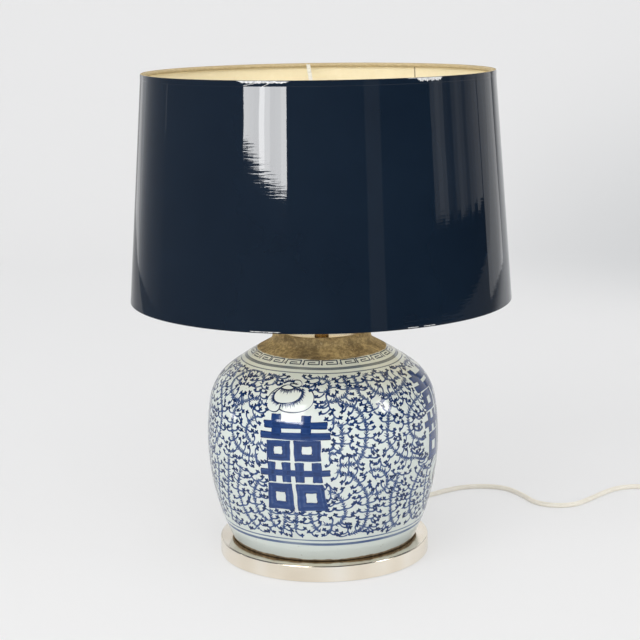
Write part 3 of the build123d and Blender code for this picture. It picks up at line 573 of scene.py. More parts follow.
def smooth(points, steps):
    """Curve through points: cubic between neighbours, with the slope at each from the points beside it."""
    points = np.asarray(points, float)
    slope = np.gradient(points, axis=0)
    place = np.linspace(0, len(points) - 1, steps)
    piece = np.minimum(place.astype(int), len(points) - 2)
    t = (place - piece)[:, None]
    from_here = (2 * t**3 - 3 * t**2 + 1) * points[piece] + (t**3 - 2 * t**2 + t) * slope[piece]
    return from_here + (3 * t**2 - 2 * t**3) * points[piece + 1] + (t**3 - t**2) * slope[piece + 1]


# Rings: distance down, width and ink of each.
round_angle = np.linspace(0, 2 * math.pi, 361)
wobble = 0.25 * np.sin(3 * round_angle) + 0.15 * np.sin(7 * round_angle + 1)
pressure = 1 + 0.18 * np.sin(5 * round_angle) + 0.12 * np.sin(13 * round_angle + 2)
rings = [
    line(round_angle, middle + wobble, wide, tone * pressure, 0.03, across=5)
    for middle, wide, tone in (
        (35.5, 2.8, 0.15), (34.3, 0.7, 0.27), (36.7, 0.7, 0.27),
        (41.2, 1.1, 0.24), (203.0, 1.4, 0.30), (207.4, 2.8, 0.34))
]

# Key fret: one hooked line and a dot in each unit, in shares of the unit's width and height.
fret_units, fret_top, fret_height = 24, 24.8, 6.4
fret_path = [(0.0, 1.0), (0.0, 0.04), (0.86, 0.04), (0.86, 0.84), (0.26, 0.84), (0.26, 0.46), (0.64, 0.46)]
fret = []
for unit in range(fret_units):
    lean = 0.04 * math.sin(2.3 * unit)
    for (u0, v0), (u1, v1) in zip(fret_path, fret_path[1:]):
        share = np.linspace(-0.02, 1.02, 6)
        u, v = u0 + (u1 - u0) * share, v0 + (v1 - v0) * share
        turn = 2 * math.pi * (unit + 0.96 * u + lean) / fret_units
        fret_ink = 0.66 + 0.15 * math.sin(1.7 * unit + v0)
        fret.append(line(turn, fret_top + fret_height * v, 1.2, fret_ink, 0.04))
    dot_turn = 2 * math.pi * (unit + 0.92 + lean) / fret_units + np.linspace(0, 0.02, 4)
    dot_down = fret_top + fret_height * np.linspace(0.9, 0.55, 4)
    fret.append(line(dot_turn, dot_down, 0.8, 0.7, 0.04))
painting("painted_borders", rings + fret)

# Emblem: two tall twins side by side under shared bars, the old sign of wedded joy. Corners are
# sideways and down, in millimetres, sideways from the emblem's middle. Front and back emblems stand
# in the middle of the jar under a flower, and the two on the sides are raised and stand over one.
half_turn = math.pi
front_middle, side_middle, raised = math.radians(-14), math.radians(77), 29.0
flower_mirror = 227.0
emblem_blocks = [
    [(-21.0, 84.6), (-12.6, 84.2), (-12.0, 100.5), (-20.4, 100.8)],
    [(6.6, 84.8), (14.8, 84.8), (15.2, 100.5), (6.4, 100.5)],
    [(-28.6, 90.8), (29.6, 90.2), (29.2, 95.9), (-27.8, 96.6)],
    [(-31.8, 100.6), (32.2, 99.8), (32.4, 105.6), (-31.6, 106.4)],
    [(-24.6, 127.4), (-17.6, 127.2), (-17.0, 144.8), (-24.0, 145.2)],
    [(-10.8, 127.0), (-3.2, 126.8), (-2.8, 144.4), (-10.2, 144.6)],
    [(1.2, 126.8), (8.8, 126.6), (9.4, 144.2), (1.6, 144.4)],
    [(16.2, 126.6), (24.2, 126.5), (25.0, 144.2), (17.4, 144.4)],
    [(-31.8, 134.4), (32.0, 133.2), (32.0, 138.2), (-31.8, 139.6)],
]
emblem_frames = [
    ([(-25.4, 108.2), (-3.6, 107.2), (-3.4, 124.6), (-25.2, 125.6)],
     [(-18.8, 112.8), (-10.4, 112.4), (-10.2, 119.6), (-18.6, 120.0)]),
    ([(0.0, 107.0), (23.8, 106.7), (23.9, 124.6), (1.0, 125.0)],
     [(7.0, 111.6), (16.4, 111.4), (16.6, 118.8), (7.2, 119.2)]),
    ([(-24.4, 147.2), (-2.4, 146.2), (-0.8, 170.8), (-25.4, 171.2)],
     [(-18.0, 154.4), (-8.4, 154.2), (-8.0, 163.6), (-17.6, 163.8)]),
    ([(1.8, 146.4), (25.4, 146.5), (29.0, 171.0), (2.8, 171.6)],
     [(9.8, 154.6), (19.6, 154.2), (20.2, 163.8), (10.2, 164.0)]),
]


def patch(corners, tone, lift):
    """Wash between four corners, with brush lines along its longer side and slightly uneven edges."""
    a, b, c, d = (np.array(v, float) for v in corners)
    rows = max(4, int(max(np.hypot(*(b - a)), np.hypot(*(c - d))) / 1.6))
    columns = max(4, int(max(np.hypot(*(d - a)), np.hypot(*(c - b))) / 1.6))
    u, v = np.meshgrid(np.linspace(0, 1, rows), np.linspace(0, 1, columns), indexing="ij")
    left, right = (1 - v)[..., None] * a + v[..., None] * d, (1 - v)[..., None] * b + v[..., None] * c
    spot = (1 - u)[..., None] * left + u[..., None] * right
    spot = spot + 0.22 * np.stack([np.sin(1.3 * spot[..., 1] + a[0]), np.sin(0.9 * spot[..., 0] + a[1])], -1)
    across = v if rows > columns else u
    streak = np.sin(11 * across + a[0]) * 0.07 + np.sin(29 * across) * 0.04
    return spot[None, ..., 0], spot[None, ..., 1], (tone + streak)[None], lift, np.ones((1, rows), bool)


def frame_bars(outer, inner):
    """Four washes between an outer and an inner outline, each run a little over its mitres."""
    bars = []
    for i in range(4):
        corners = (outer[i], outer[(i + 1) % 4], inner[(i + 1) % 4], inner[i])
        a, b, c, d = (np.array(v, float) for v in corners)
        over = 0.7 * (b - a) / np.hypot(*(b - a))
        bars.append([a, b, c + over, d - over])
    return bars


def edge_lines(corners, tone):
    """Darker brush lines round an outline, pressed harder at its corners."""
    lines = []
    for start, end in zip(corners, corners[1:] + corners[:1]):
        share = np.linspace(0, 1, max(6, int(math.dist(start, end) / 1.5)))
        x = start[0] + (end[0] - start[0]) * share + 0.25 * np.sin(9 * share + start[0])
        y = start[1] + (end[1] - start[1]) * share + 0.20 * np.sin(7 * share + start[1])
        press = 0.75 + 0.35 * np.abs(2 * share - 1) ** 3
        lines.append(line(x, y, 0.9, tone * press, 0.08, swell=press, radius=1))
    return lines


emblem_sheets = []
for block in emblem_blocks:
    upright = block[1][0] - block[0][0] < 20
    emblem_sheets += [patch(block, 0.53, 0.05 if upright else 0.06), *edge_lines(block, 0.76)]
# Where a bar crosses an upright, the second wash is darker.
crossings = [(0, 2), (1, 2), (0, 3), (1, 3), (4, 8), (5, 8), (6, 8), (7, 8)]
for upright, bar in crossings:
    (left, _), (right, _) = emblem_blocks[upright][:2]
    (_, upper), (_, _), (_, lower), _ = emblem_blocks[bar]
    emblem_sheets.append(patch([(left, upper), (right, upper), (right, lower), (left, lower)], 0.62, 0.065))
for outer, inner in emblem_frames:
    for i, bar in enumerate(frame_bars(outer, inner)):
        emblem_sheets.append(patch(bar, 0.56, 0.05 + 0.006 * (i % 2)))
    emblem_sheets += edge_lines(outer, 0.68) + edge_lines(inner, 0.82)
emblem_parts = [
    (middle + x / jar_radius(down - rise), down - rise, tone, lift, keep)
    for middle, rise in ((front_middle, 0.0), (side_middle, raised))
    for x, down, tone, lift, keep in emblem_sheets
]


def both_halves(sheets):
    """The sheets of one half of the jar, and the same half a turn further round."""
    return [(azimuth + turn, *rest) for turn in (0, half_turn) for azimuth, *rest in sheets]


painting("painted_emblems", both_halves(emblem_parts))

# Flower over each emblem: outlines of its petals, then fringes of fine hairs. Points are degrees
# sideways from the emblem's middle and distance down.
petals = [
    ([(-9.5, 59.7), (-12.0, 60.8), (-14.4, 65.1), (-15.8, 70.4), (-16.0, 75.8), (-14.6, 79.8), (-12.4, 82.2),
      (-9.8, 82.4), (-8.2, 79.8), (-7.9, 75.8)], 0.7),
    ([(-9.8, 60.0), (-11.8, 63.0), (-12.7, 67.2), (-12.3, 71.0), (-10.7, 73.6), (-8.2, 74.6), (-5.1, 74.3),
      (-1.4, 72.8), (1.4, 69.4), (2.6, 64.6), (2.1, 60.8), (0.5, 58.2), (-1.4, 58.2), (-3.2, 60.4),
      (-5.1, 61.2), (-7.6, 61.0), (-9.8, 59.8)], 0.9),
    ([(0.8, 57.0), (4.2, 56.8), (7.0, 59.7), (9.1, 64.5), (9.5, 69.4), (8.6, 74.7), (6.4, 78.6), (3.0, 81.2),
      (-1.5, 82.2), (-5.5, 81.6), (-8.2, 79.8)], 0.7),
    ([(-4.8, 51.0), (-2.6, 49.8), (-0.1, 50.0), (1.5, 52.2), (1.9, 55.0), (0.8, 57.4), (-1.4, 57.8),
      (-3.4, 57.0)], 0.7),
    ([(-13.8, 51.5), (-14.0, 54.6), (-13.0, 57.2), (-11.6, 57.6), (-10.8, 56.2), (-11.6, 55.0)], 0.8),
    ([(-10.4, 59.6), (-8.6, 57.2), (-6.4, 55.8), (-4.4, 56.4), (-2.2, 58.4)], 0.9),
]
flower_sheets = []
for outline, wide in petals:
    curve = smooth(outline, 8 * len(outline))
    press = 0.8 + 0.3 * np.sin(np.linspace(0, 9, len(curve)))
    flower_sheets.append(line(
        np.radians(curve[:, 0]), curve[:, 1], 1.5 * wide, 0.70 * press + 0.18, 0.05, swell=press))

# Fringes: a line that the hairs grow from, their number, the first and the last heading in degrees,
# their length and their ink.
fringes = [
    ([(-9.4, 60.8), (-5.1, 61.6), (-1.0, 58.8), (1.8, 60.4)], 20, 95, 60, 4.6, 0.62),
    ([(2.2, 59.4), (2.8, 64.6), (1.6, 69.6), (-1.2, 73.2)], 20, 10, 60, 4.4, 0.55),
    ([(-7.6, 75.0), (-4.0, 74.8), (-1.4, 73.4)], 10, 75, 55, 4.4, 0.34),
    ([(-12.6, 65.0), (-12.4, 71.4), (-9.0, 74.8)], 16, 170, 100, 3.6, 0.52),
    ([(-8.8, 54.6), (-6.4, 52.4), (-3.6, 53.0)], 16, -150, -60, 4.2, 0.62),
    ([(-5.0, 55.6), (-3.2, 54.6), (-1.4, 55.2)], 9, -110, -30, 3.0, 0.75),
]
for base_line, count, first_angle, last_angle, hair, tone in fringes:
    roots = smooth(base_line, count)
    ones = np.ones(count)
    headings = np.radians(np.linspace(first_angle, last_angle, count))
    lengths = hair * (0.8 + 0.25 * np.sin(2.4 * np.arange(count)))
    flower_sheets.append(brush(
        np.radians(roots[:, 0]), roots[:, 1], headings, lengths, 0.3 * ones, 0 * ones, ones,
        (tone + 0.2) * ones, (1.0, 0.9, 0.55, 0.15), (1.1, 1.0, 0.8, 0.6), 0.06))
front_flowers = [(front_middle + azimuth, *rest) for azimuth, *rest in flower_sheets]
side_flowers = [
    (side_middle - azimuth, flower_mirror - down, *rest) for azimuth, down, *rest in flower_sheets]
painting("painted_flowers", both_halves(front_flowers + side_flowers))


def reserved(azimuth, down, margin):
    """True where an emblem or a flower keeps the scrolls out."""
    taken = np.zeros(np.broadcast_shapes(np.shape(azimuth), np.shape(down)), bool)
    groups = ((front_middle, 0.0, 1, None), (side_middle, raised, -1, flower_mirror))
    for middle, rise, side, mirror in groups:
        offset = (azimuth - middle + half_turn / 2) % half_turn - half_turn / 2
        x, y = offset * jar_radius(down), down + rise
        for half_width, upper, lower in ((32, 90, 106), (32, 133.5, 139.5), (25.6, 84, 171)):
            taken |= (np.abs(x) < half_width + margin) & (y > upper - margin) & (y < lower + margin)
        y = down if mirror is None else mirror - down
        bloom_x, bloom_y = (side * np.degrees(offset) + 3.3) / 12.8, (y - 69.5) / 13.2
        crown_x, crown_y = (side * np.degrees(offset) + 4.4) / 6.6, (y - 53.5) / 5.0
        grown = 1 + margin / 13
        taken |= (bloom_x**2 + bloom_y**2 < grown**2) | (crown_x**2 + crown_y**2 < grown**2)
    return taken


# Scrolls: long stems listed over half the jar, each point in degrees from the front and
# millimetres down from the rim. Hooked leaves grow from both sides of every stem.
stems = [
    [(12, 44), (14, 50), (14, 62), (11, 68), (7, 71), (2, 73)],
    [(7, 71), (12, 75), (16, 78), (19, 85), (21, 94), (21, 104), (20, 114), (18, 122), (15, 128), (6, 129)],
    [(30, 44), (27, 52), (28, 62), (32, 69), (37, 71), (43, 70), (49, 66), (57, 60)],
    [(37, 71), (37, 78), (34, 88), (33, 98), (32, 108), (34, 117), (38, 125), (43, 131), (51, 134)],
    [(58, 80), (52, 84), (47, 91), (46, 103), (48, 112), (53, 117)],
    [(4, 90), (8, 92), (9, 100), (9, 110), (7, 117), (2, 118)],
    [(42, 45), (41, 53), (44, 58), (52, 57)],
    [(20, 45), (21, 56), (20, 66), (24, 74), (26, 84)],
    [(-3, 46), (3, 50), (4, 58), (1, 64)],
    [(6, 134), (14, 140), (18, 149), (21, 158), (22, 169), (22, 179), (21, 188), (18, 195), (12, 198)],
    [(22, 158), (26, 159), (31, 155), (32, 147), (30, 139), (26, 136), (21, 137)],
    [(2, 153), (5, 154), (8, 160), (10, 169), (10, 179), (6, 186), (0, 185)],
    [(39, 142), (37, 152), (35, 162), (35, 172), (36, 181), (38, 191), (42, 199)],
    [(57, 143), (52, 155), (49, 168), (50, 183), (54, 193)],
    [(63, 147), (62, 160), (63, 174), (66, 187), (72, 195)],
    [(60, 45), (68, 49), (77, 46), (86, 49), (94, 46)],
    [(92, 146), (95, 160), (93, 175), (88, 188), (80, 193)],
    [(-54, 45), (-59, 53), (-61, 62), (-57, 72), (-50, 78), (-44, 78), (-38, 73), (-33, 74)],
    [(-44, 78), (-48, 83), (-50, 94), (-50, 103), (-48, 113), (-44, 121), (-38, 125), (-33, 124)],
    [(-34, 88), (-38, 94), (-40, 103), (-38, 110), (-34, 114), (-30, 110)],
    [(-72, 58), (-70, 70), (-64, 81), (-60, 92), (-60, 104), (-61, 114), (-66, 124)],
    [(-54, 45), (-45, 45), (-39, 50), (-37, 60)],
    [(-33, 45), (-29, 50), (-30, 58)],
    [(-43, 136), (-45, 148), (-47, 159), (-46, 170), (-44, 181), (-41, 190), (-36, 198)],
    [(-33, 146), (-36, 158), (-36, 169), (-34, 180), (-29, 186)],
    [(-52, 128), (-53, 145), (-55, 160), (-57, 174), (-58, 188), (-60, 198)],
    [(-64, 132), (-63, 146), (-65, 160), (-68, 174), (-68, 187), (-70, 198)],
    [(-80, 48), (-82, 62), (-80, 78), (-78, 94), (-79, 110), (-76, 126), (-77, 142), (-80, 158), (-78, 174),
     (-80, 192)],
    [(-70, 45), (-68, 52), (-64, 60)],
    [(-27, 173), (-28, 182), (-26, 192)],
    [(-20, 173), (-20, 182), (-22, 193)],
    [(-14, 173), (-14, 182), (-15, 193)],
    [(-7, 173), (-6, 184), (-2, 194)],
]
rng = np.random.default_rng(12)
pace = 0.9


def walked(points):
    """Curve through a stem's points in even steps: azimuth, distance down and heading along it."""
    curve = smooth(points, 16 * len(points))
    azimuth, down = np.radians(curve[:, 0]), curve[:, 1]
    stretches = np.hypot(np.diff(azimuth) * jar_radius(down[1:]), np.diff(down))
    far = np.concatenate([[0], np.cumsum(stretches)])
    even = np.linspace(0, far[-1], int(far[-1] / pace))
    azimuth, down = np.interp(even, far, azimuth), np.interp(even, far, down)
    heading = np.arctan2(np.gradient(down), np.gradient(azimuth) * jar_radius(down))
    return azimuth, down, heading


stem_sheets, stem_points, leaf_roots, spine_roots = [], [], [], []
leaf_gap, spine_gap = 7.6, 1.5
for points in stems:
    azimuth, down, heading = walked(points)
    share = np.linspace(0, 1, len(azimuth))
    tapered = np.clip(6 * np.minimum(share, 1 - share) + 0.35, 0, 1)
    swell = (1.05 + 0.2 * np.sin(9 * share + points[0][0])) * tapered
    stem_ink = 0.28 + 0.06 * np.sin(7 * share + points[0][1])
    stem_sheets.append(line(azimuth, down, 1.5, stem_ink, 0.03, swell=swell))
    stem_points.append(np.column_stack([azimuth, down]))
    upward = np.where(np.sin(heading) > 0, heading + math.pi, heading)
    for roots, gap in ((leaf_roots, leaf_gap), (spine_roots, spine_gap)):
        stations = np.arange(2, len(azimuth) - 1, gap / pace).astype(int)
        for side in (1.0, -1.0):
            place = [azimuth[stations], down[stations], upward[stations], np.full(len(stations), side)]
            roots.append(np.column_stack(place))
stem_points = np.vstack(stem_points)


def gap_between(azimuth, down, others, rise=1.0):
    """Distance in millimetres from each place to each of the other places, on the unrolled jar. What
    lies above or below counts as rise times as far."""
    turn = (azimuth[:, None] - others[:, 0] + half_turn / 2) % half_turn - half_turn / 2
    return np.hypot(turn * jar_radius(down)[:, None], rise * (down[:, None] - others[:, 1]))


field_top, field_bottom = 43.5, 201.0
hook_swell = (1.5, 1.1, 0.9, 0.85, 0.9, 1.0, 1.2, 1.25)
hook_fade = (1.05, 0.95, 0.9, 0.95, 1.02, 1.15, 1.3, 1.35)


def hooks(azimuth, down, heading, side, length):
    """Leaves that leave their root along a heading, sag a little and hook round at the tip."""
    count = len(azimuth)
    bend = -side * rng.uniform(0.35, 0.60, count)
    curl = -side * rng.uniform(0.9, 1.4, count)
    width, tone = rng.uniform(1.45, 1.85, count), rng.uniform(0.42, 0.55, count)
    sheet = brush(azimuth, down, heading, length, bend, curl, width, tone, hook_swell, hook_fade, 0.045)
    return sheet, heading + bend + curl


def only(sheet, flags):
    """The strokes of a sheet that are flagged."""
    azimuth, down, tone, lift, keep = sheet
    return azimuth[flags], down[flags], tone[flags], lift, keep[flags]


def free_strokes(sheet):
    """One flag per stroke: wholly inside the painted field and clear of emblems and flowers."""
    azimuth, down = sheet[0][:, :, 1], sheet[1][:, :, 1]
    inside = (down > field_top).all(1) & (down < field_bottom).all(1)
    return inside & ~reserved(azimuth, down, 0.2).any(1)


def tip_places(sheet):
    return np.column_stack([sheet[0][:, -1, 1], sheet[1][:, -1, 1]])


def crowded(tips, gap):
    """One flag per leaf: the tip of an earlier one is nearer than the gap."""
    return np.tril(gap_between(tips[:, 0], tips[:, 1], tips) < gap, -1).any(1)


leaf_azimuth, leaf_down, leaf_up, leaf_side = np.vstack(leaf_roots).T
count = len(leaf_azimuth)
leaf_heading = leaf_up + leaf_side * np.radians(rng.uniform(100, 118, count))
leaves, tip_heading = hooks(leaf_azimuth, leaf_down, leaf_heading, leaf_side, rng.uniform(7.8, 9.6, count))
tips = tip_places(leaves)
near_stem = (gap_between(tips[:, 0], tips[:, 1], stem_points) < 1.8).any(1)
leaf_ok = free_strokes(leaves) & ~crowded(tips, 2.6) & ~near_stem

# Small leaves fill what the stems leave bare. Each grows from the nearest painted place.
painted = np.vstack([stem_points, np.column_stack([
    leaves[0][leaf_ok][:, :, 1].ravel(), leaves[1][leaf_ok][:, :, 1].ravel()])])
row_down = np.arange(field_top + 2.5, field_bottom - 1.5, 5.2)
belly_radius = 107
column_turn = np.arange(0, half_turn * belly_radius, 4.8) / belly_radius
spot_down, spot_azimuth = (v.ravel() for v in np.meshgrid(row_down, column_turn, indexing="ij"))
spot_azimuth = spot_azimuth + rng.uniform(-0.012, 0.012, spot_azimuth.size)
spot_down = spot_down + rng.uniform(-1.2, 1.2, spot_down.size)
roomy = ~reserved(spot_azimuth, spot_down, 0.8)
spot_azimuth, spot_down = spot_azimuth[roomy], spot_down[roomy]
away = gap_between(spot_azimuth, spot_down, painted)
nearest = gap_between(spot_azimuth, spot_down - 1.5, painted, rise=2.2).argmin(1)
lonely = (away.min(1) > 3.3) & (away.min(1) < 13)
spot_azimuth, spot_down, root = spot_azimuth[lonely], spot_down[lonely], painted[nearest[lonely]]
turn = (spot_azimuth - root[:, 0] + half_turn / 2) % half_turn - half_turn / 2
towards = np.arctan2(spot_down - root[:, 1], turn * jar_radius(spot_down))
spot_side = np.where(np.cos(towards) > 0, 1.0, -1.0)
fill_length = np.hypot(turn * jar_radius(spot_down), spot_down - root[:, 1]) + 1.6
fillers, fill_heading = hooks(root[:, 0], root[:, 1], towards + 0.5 * spot_side, spot_side, fill_length)
fill_ok = free_strokes(fillers) & ~crowded(tip_places(fillers), 3.0)

# Three dabs fan out from the tip of every leaf.
dab_sheets = []
for sheet, flags, headings in ((leaves, leaf_ok, tip_heading), (fillers, fill_ok, fill_heading)):
    ends = int(flags.sum())
    for fan in (-75, 0, 75):
        dab_sheets.append(brush(
            sheet[0][flags, -1, 1], sheet[1][flags, -1, 1],
            headings[flags] + np.radians(fan) + rng.uniform(-0.3, 0.3, ends),
            rng.uniform(2.0, 3.0, ends), rng.uniform(-0.6, 0.6, ends), np.zeros(ends),
            rng.uniform(1.5, 1.95, ends), rng.uniform(0.62, 0.90, ends),
            (0.8, 1.1, 1.0, 0.25), (1.0, 1.0, 1.0, 0.9), 0.06))

# Short spines stand along both sides of every stem.
spine_azimuth, spine_down, spine_up, spine_side = np.vstack(spine_roots).T
count = len(spine_azimuth)
spines = brush(
    spine_azimuth, spine_down, spine_up + spine_side * np.radians(rng.uniform(38, 72, count)),
    rng.uniform(2.0, 4.2, count), spine_side * rng.uniform(-0.5, 0.1, count), np.zeros(count),
    rng.uniform(0.9, 1.3, count), rng.uniform(0.46, 0.74, count), (1.0, 0.8, 0.2), (0.9, 1.0, 1.1), 0.035)
kept_stems = [
    (azimuth, down, tone, lift, keep & ~reserved(azimuth[:, :, 1], down[:, :, 1], 0.3))
    for azimuth, down, tone, lift, keep in stem_sheets]
painting("painted_scrolls", both_halves(kept_stems + [only(spines, free_strokes(spines))]))
painting("painted_leaves", both_halves([only(leaves, leaf_ok), only(fillers, fill_ok), *dab_sheets]))

# ---- Cap and tube in the jar's mouth -----------------------------------------------------------
# A shallow silver-plated cap is wedged in the mouth, and a short brass tube stands on it. The
# threaded tube clamps both down.

cap_top, stem_top = 206.5, 221.5
cap_outline = [
    (rod_hole, 205.3), (38.3, 205.3), (38.3, 202.5), (39.5, 202.5),
    *rounded((38.9, 205.9), 0, 0.6, 5), (rod_hole, cap_top)]
stem_outline = [
    (rod_hole, cap_top), (6.5, cap_top), (6.7, 206.8), (6.7, 221.2), (6.5, stem_top), (rod_hole, stem_top)]
brass = plain_finish("aged_brass", (0.42, 0.29, 0.13), (0.25, 0.16, 0.07), 0.28, 1.0, scale=140, bump=0.08)
spin("mouth_cap", cap_outline, "neck_cap", "base", [silver], around=160)
spin("stem_sleeve", stem_outline, "stem_tube", "base", [brass], around=64)

# ---- Lampholder --------------------------------------------------------------------------------
# Two halves of drawn brass round an insulating block, which carries the screw shell and the
# springy centre contact.

black_plastic = plain_finish("black_moulding", (0.025, 0.024, 0.023), (0.012, 0.012, 0.012), 0.45, scale=400)
dress(brass, "holder_cap", "holder_shell", "holder_thread", "holder_contact")
dress(black_plastic, "holder_insert", "bulb_base")

# ---- Bulb --------------------------------------------------------------------------------------
# A pear-shaped glass, frosted inside, is cemented in a nickel-plated screw cap. A black insulator
# with the centre contact closes the cap below.

nickel = plain_finish("nickel_plate", (0.66, 0.64, 0.60), (0.50, 0.48, 0.44), 0.24, 1.0, scale=260, bump=0.06)
frosted = Finish("frosted_glass", (0.90, 0.90, 0.88), 0.45)
frosted.set("Transmission Weight", 0.35)
frosted.set("Base Color", frosted.ramp(
    frosted.noise(500, detail=2), (0.3, (0.86, 0.86, 0.84)), (0.7, (0.92, 0.92, 0.90))))
dress(nickel, "bulb_cap")
dress(frosted, "bulb_glass")

# ---- Harp and finial ---------------------------------------------------------------------------
# Bent nickel-plated wire on a pressed saddle, locked by two ferrules. A swivel stud on top takes
# the shade's hub, and a turned brass knob clamps it.

dress(nickel, "harp_saddle", "harp_sleeves", "harp_stud", "harp_wire", "plug_pins")
dress(brass, "finial")

# ---- Shade -------------------------------------------------------------------------------------
# A cone of navy laminate, glossy outside and cream inside, on two wire rings wound with tape. The
# edges are bound with a folded strip. Three white arms carry it from the hub.

white_enamel = plain_finish("white_enamel", (0.86, 0.82, 0.70), (0.80, 0.75, 0.62), 0.3, scale=220, bump=0.05)
dress(white_enamel, "spider")

# Navy laminate: faint long ripples and broad swells bend what it mirrors.
laminate = Finish("navy_laminate", (0.008, 0.015, 0.028), 0.06)
# Broad lighter and darker patches of navy are painted sheen.
laminate.set("Base Color", laminate.ramp(
    laminate.noise(9, detail=3), (0.3, (0.0050, 0.0112, 0.0225)), (0.7, (0.0072, 0.0152, 0.0290))))
rubbed = laminate.noise(30, detail=5, roughness=0.7)
laminate.set("Roughness", laminate.ramp(rubbed, (0.35, 0.022), (0.62, 0.032), (0.78, 0.10)))
ripples = laminate.noise(560, detail=1, stretch=(0.1, 0.1, 1))
swells = laminate.number("MULTIPLY", laminate.noise(24, detail=1), 0.35)
laminate.bump(laminate.number("MULTIPLY_ADD", ripples, 0.045, swells), 1.0, 0.0003)
tape = plain_finish("beige_tape", (0.62, 0.50, 0.29), (0.50, 0.39, 0.21), 0.8, scale=240, bump=0.5)

# Cream lining: paper fibres, and the dark line of its seam at one azimuth.
cream = Finish("cream_lining", (0.92, 0.80, 0.52), 0.75)
fibre = cream.noise(150, detail=5)
seam_turn, seam_half_width = math.radians(53.5), 0.0007
off_seam = cream.number("ABSOLUTE", cream.vector(
    "DOT_PRODUCT", (-math.sin(seam_turn), math.cos(seam_turn), 0)))
this_side = cream.vector("DOT_PRODUCT", (math.cos(seam_turn), math.sin(seam_turn), 0))
on_seam = cream.number("MULTIPLY", cream.number("LESS_THAN", off_seam, seam_half_width), cream.number(
    "GREATER_THAN", this_side, 0.0))
lining_color = cream.ramp(fibre, (0.3, (0.95, 0.84, 0.57)), (0.7, (0.98, 0.88, 0.625)))
cream.set("Base Color", cream.mix(on_seam, lining_color, (0.20, 0.13, 0.06), most=0.75))
cream.bump(fibre, 0.12, 0.0003)

shade_low, shade_high = (175.0, 243.7), (159.5, 448.8)
laminate_thickness, lining_thickness = 1.0, 0.4
inner_skin = laminate_thickness + lining_thickness


def shade_radius(height, skin):
    """Radius of the shade's cone at a height, at a depth behind its outer face."""
    share = (height - shade_low[1]) / (shade_high[1] - shade_low[1])
    return shade_low[0] + share * (shade_high[0] - shade_low[0]) - skin


def cone_outline(outer, inner, rows=24):
    """Closed outline of the whole cone between two depths."""
    heights = np.linspace(shade_low[1], shade_high[1], rows)
    outside = np.column_stack([shade_radius(heights, outer), heights])
    inside = np.column_stack([shade_radius(heights, inner), heights])[::-1]
    return np.vstack([outside, inside])


wall_outline = cone_outline(0, laminate_thickness)
lining_outline = cone_outline(laminate_thickness, inner_skin)
spin("laminate_wall", wall_outline, "shade_wall", "shade", [laminate])
spin("cream_lining", lining_outline, "shade_lining", "shade", [cream])


def bound_edge(name, replaced, height, way, strip, lean, sheath=4.5, fold=0.4):
    """Folded strip round an edge: outside the wall in laminate and over the cut edge in tape, with
    rounded corners. way is 1 at the top and -1 at the bottom."""
    places = [
        (-0.02, sheath), (-strip * 0.7, sheath - 0.2), (-strip - lean, 0.4), (-strip * 0.8, -fold * 0.75),
        (0.0, -fold), (inner_skin, -fold), (inner_skin, 0.0), (-0.02, 0.0)]
    outline = [(shade_radius(height - way * depth, skin), height - way * depth) for skin, depth in places]
    piece = spin(name, outline, replaced, "shade", [laminate, tape], sharp=12)
    centres = np.array([tuple(face.center) for face in piece.data.polygons])
    behind = shade_radius(centres[:, 2] / mm, 0) - np.hypot(centres[:, 0], centres[:, 1]) / mm
    piece.data.polygons.foreach_set("material_index", (behind > 0.15).astype(np.int32))


bound_edge("top_binding", "top_edging", shade_high[1], 1, 0.12, 0.16)
bound_edge("bottom_binding", "bottom_edging", shade_low[1], -1, 0.03, 0.0)

# Where the film has chipped off the upper edge, the pale board shows. Along the lower edge, pale strips stand
# for chips and for the painted highlight that the edge catches.
worn_and_glint = Finish("worn_board_and_glint", (0.62, 0.62, 0.60), 0.5)
strip_grain = worn_and_glint.noise(400, detail=4)
worn_and_glint.set("Base Color", worn_and_glint.ramp(strip_grain, (0.35, (0.45, 0.46, 0.47)), (0.6, (0.80, 0.80, 0.78))))
worn_and_glint.bump(strip_grain, 0.3, 0.0002)


def pale_edge_strip(first, last, top, deep, seed, climb=0.0):
    """Pale strip just proud of the edge between two azimuths, ragged below and thin at its ends: bare board,
    and on the lower edge also painted highlight. climb is how much its last end lies higher than its first."""
    across = np.linspace(0, 1, 90)
    rag = 0.78 + 0.14 * np.sin(31 * across + seed) + 0.12 * np.sin(73 * across + 2 * seed)
    depth = deep * rag * np.clip(12 * np.minimum(across, 1 - across), 0.04, 1)
    rows = np.linspace(0, 1, 4)[:, None]
    level = top + climb * across - rows * depth
    radius = shade_radius(level, -0.38)
    azimuth = np.radians(first + (last - first) * across)
    return np.stack([radius * np.sin(azimuth), -radius * np.cos(azimuth), level], -1) * mm


chip_top, lower_strip_level = shade_high[1] + 0.1, shade_low[1] + 1.0
# Strips at the lower edge level are chips and painted highlight.
pale_strips = [
    pale_edge_strip(-24.0, -8.5, chip_top - 0.5, 1.7, 1), pale_edge_strip(-25.0, -12.0, chip_top, 0.7, 4),
    pale_edge_strip(30.3, 40.0, chip_top, 3.2, 2), pale_edge_strip(24.0, 27.5, lower_strip_level, 0.7, 3),
    pale_edge_strip(29.0, 33.0, lower_strip_level, 0.6, 5), pale_edge_strip(-20.0, -11.0, lower_strip_level, 0.6, 6),
    pale_edge_strip(-22.6, -17.6, chip_top - 3.8, 0.5, 7, climb=2.6),
    pale_edge_strip(-16.6, -14.4, chip_top - 4.6, 0.5, 8, climb=2.8),
]
rows, columns = pale_strips[0].shape[:2]
pale_strip_faces = [grid_faces(rows, columns, first=i * rows * columns)[:, ::-1] for i in range(len(pale_strips))]
pale_strip_piece = mesh_piece("edge_chips_and_glints", pale_strips, np.vstack(pale_strip_faces))
pale_strip_piece.data.materials.append(worn_and_glint.material)
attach(pale_strip_piece, "shade")

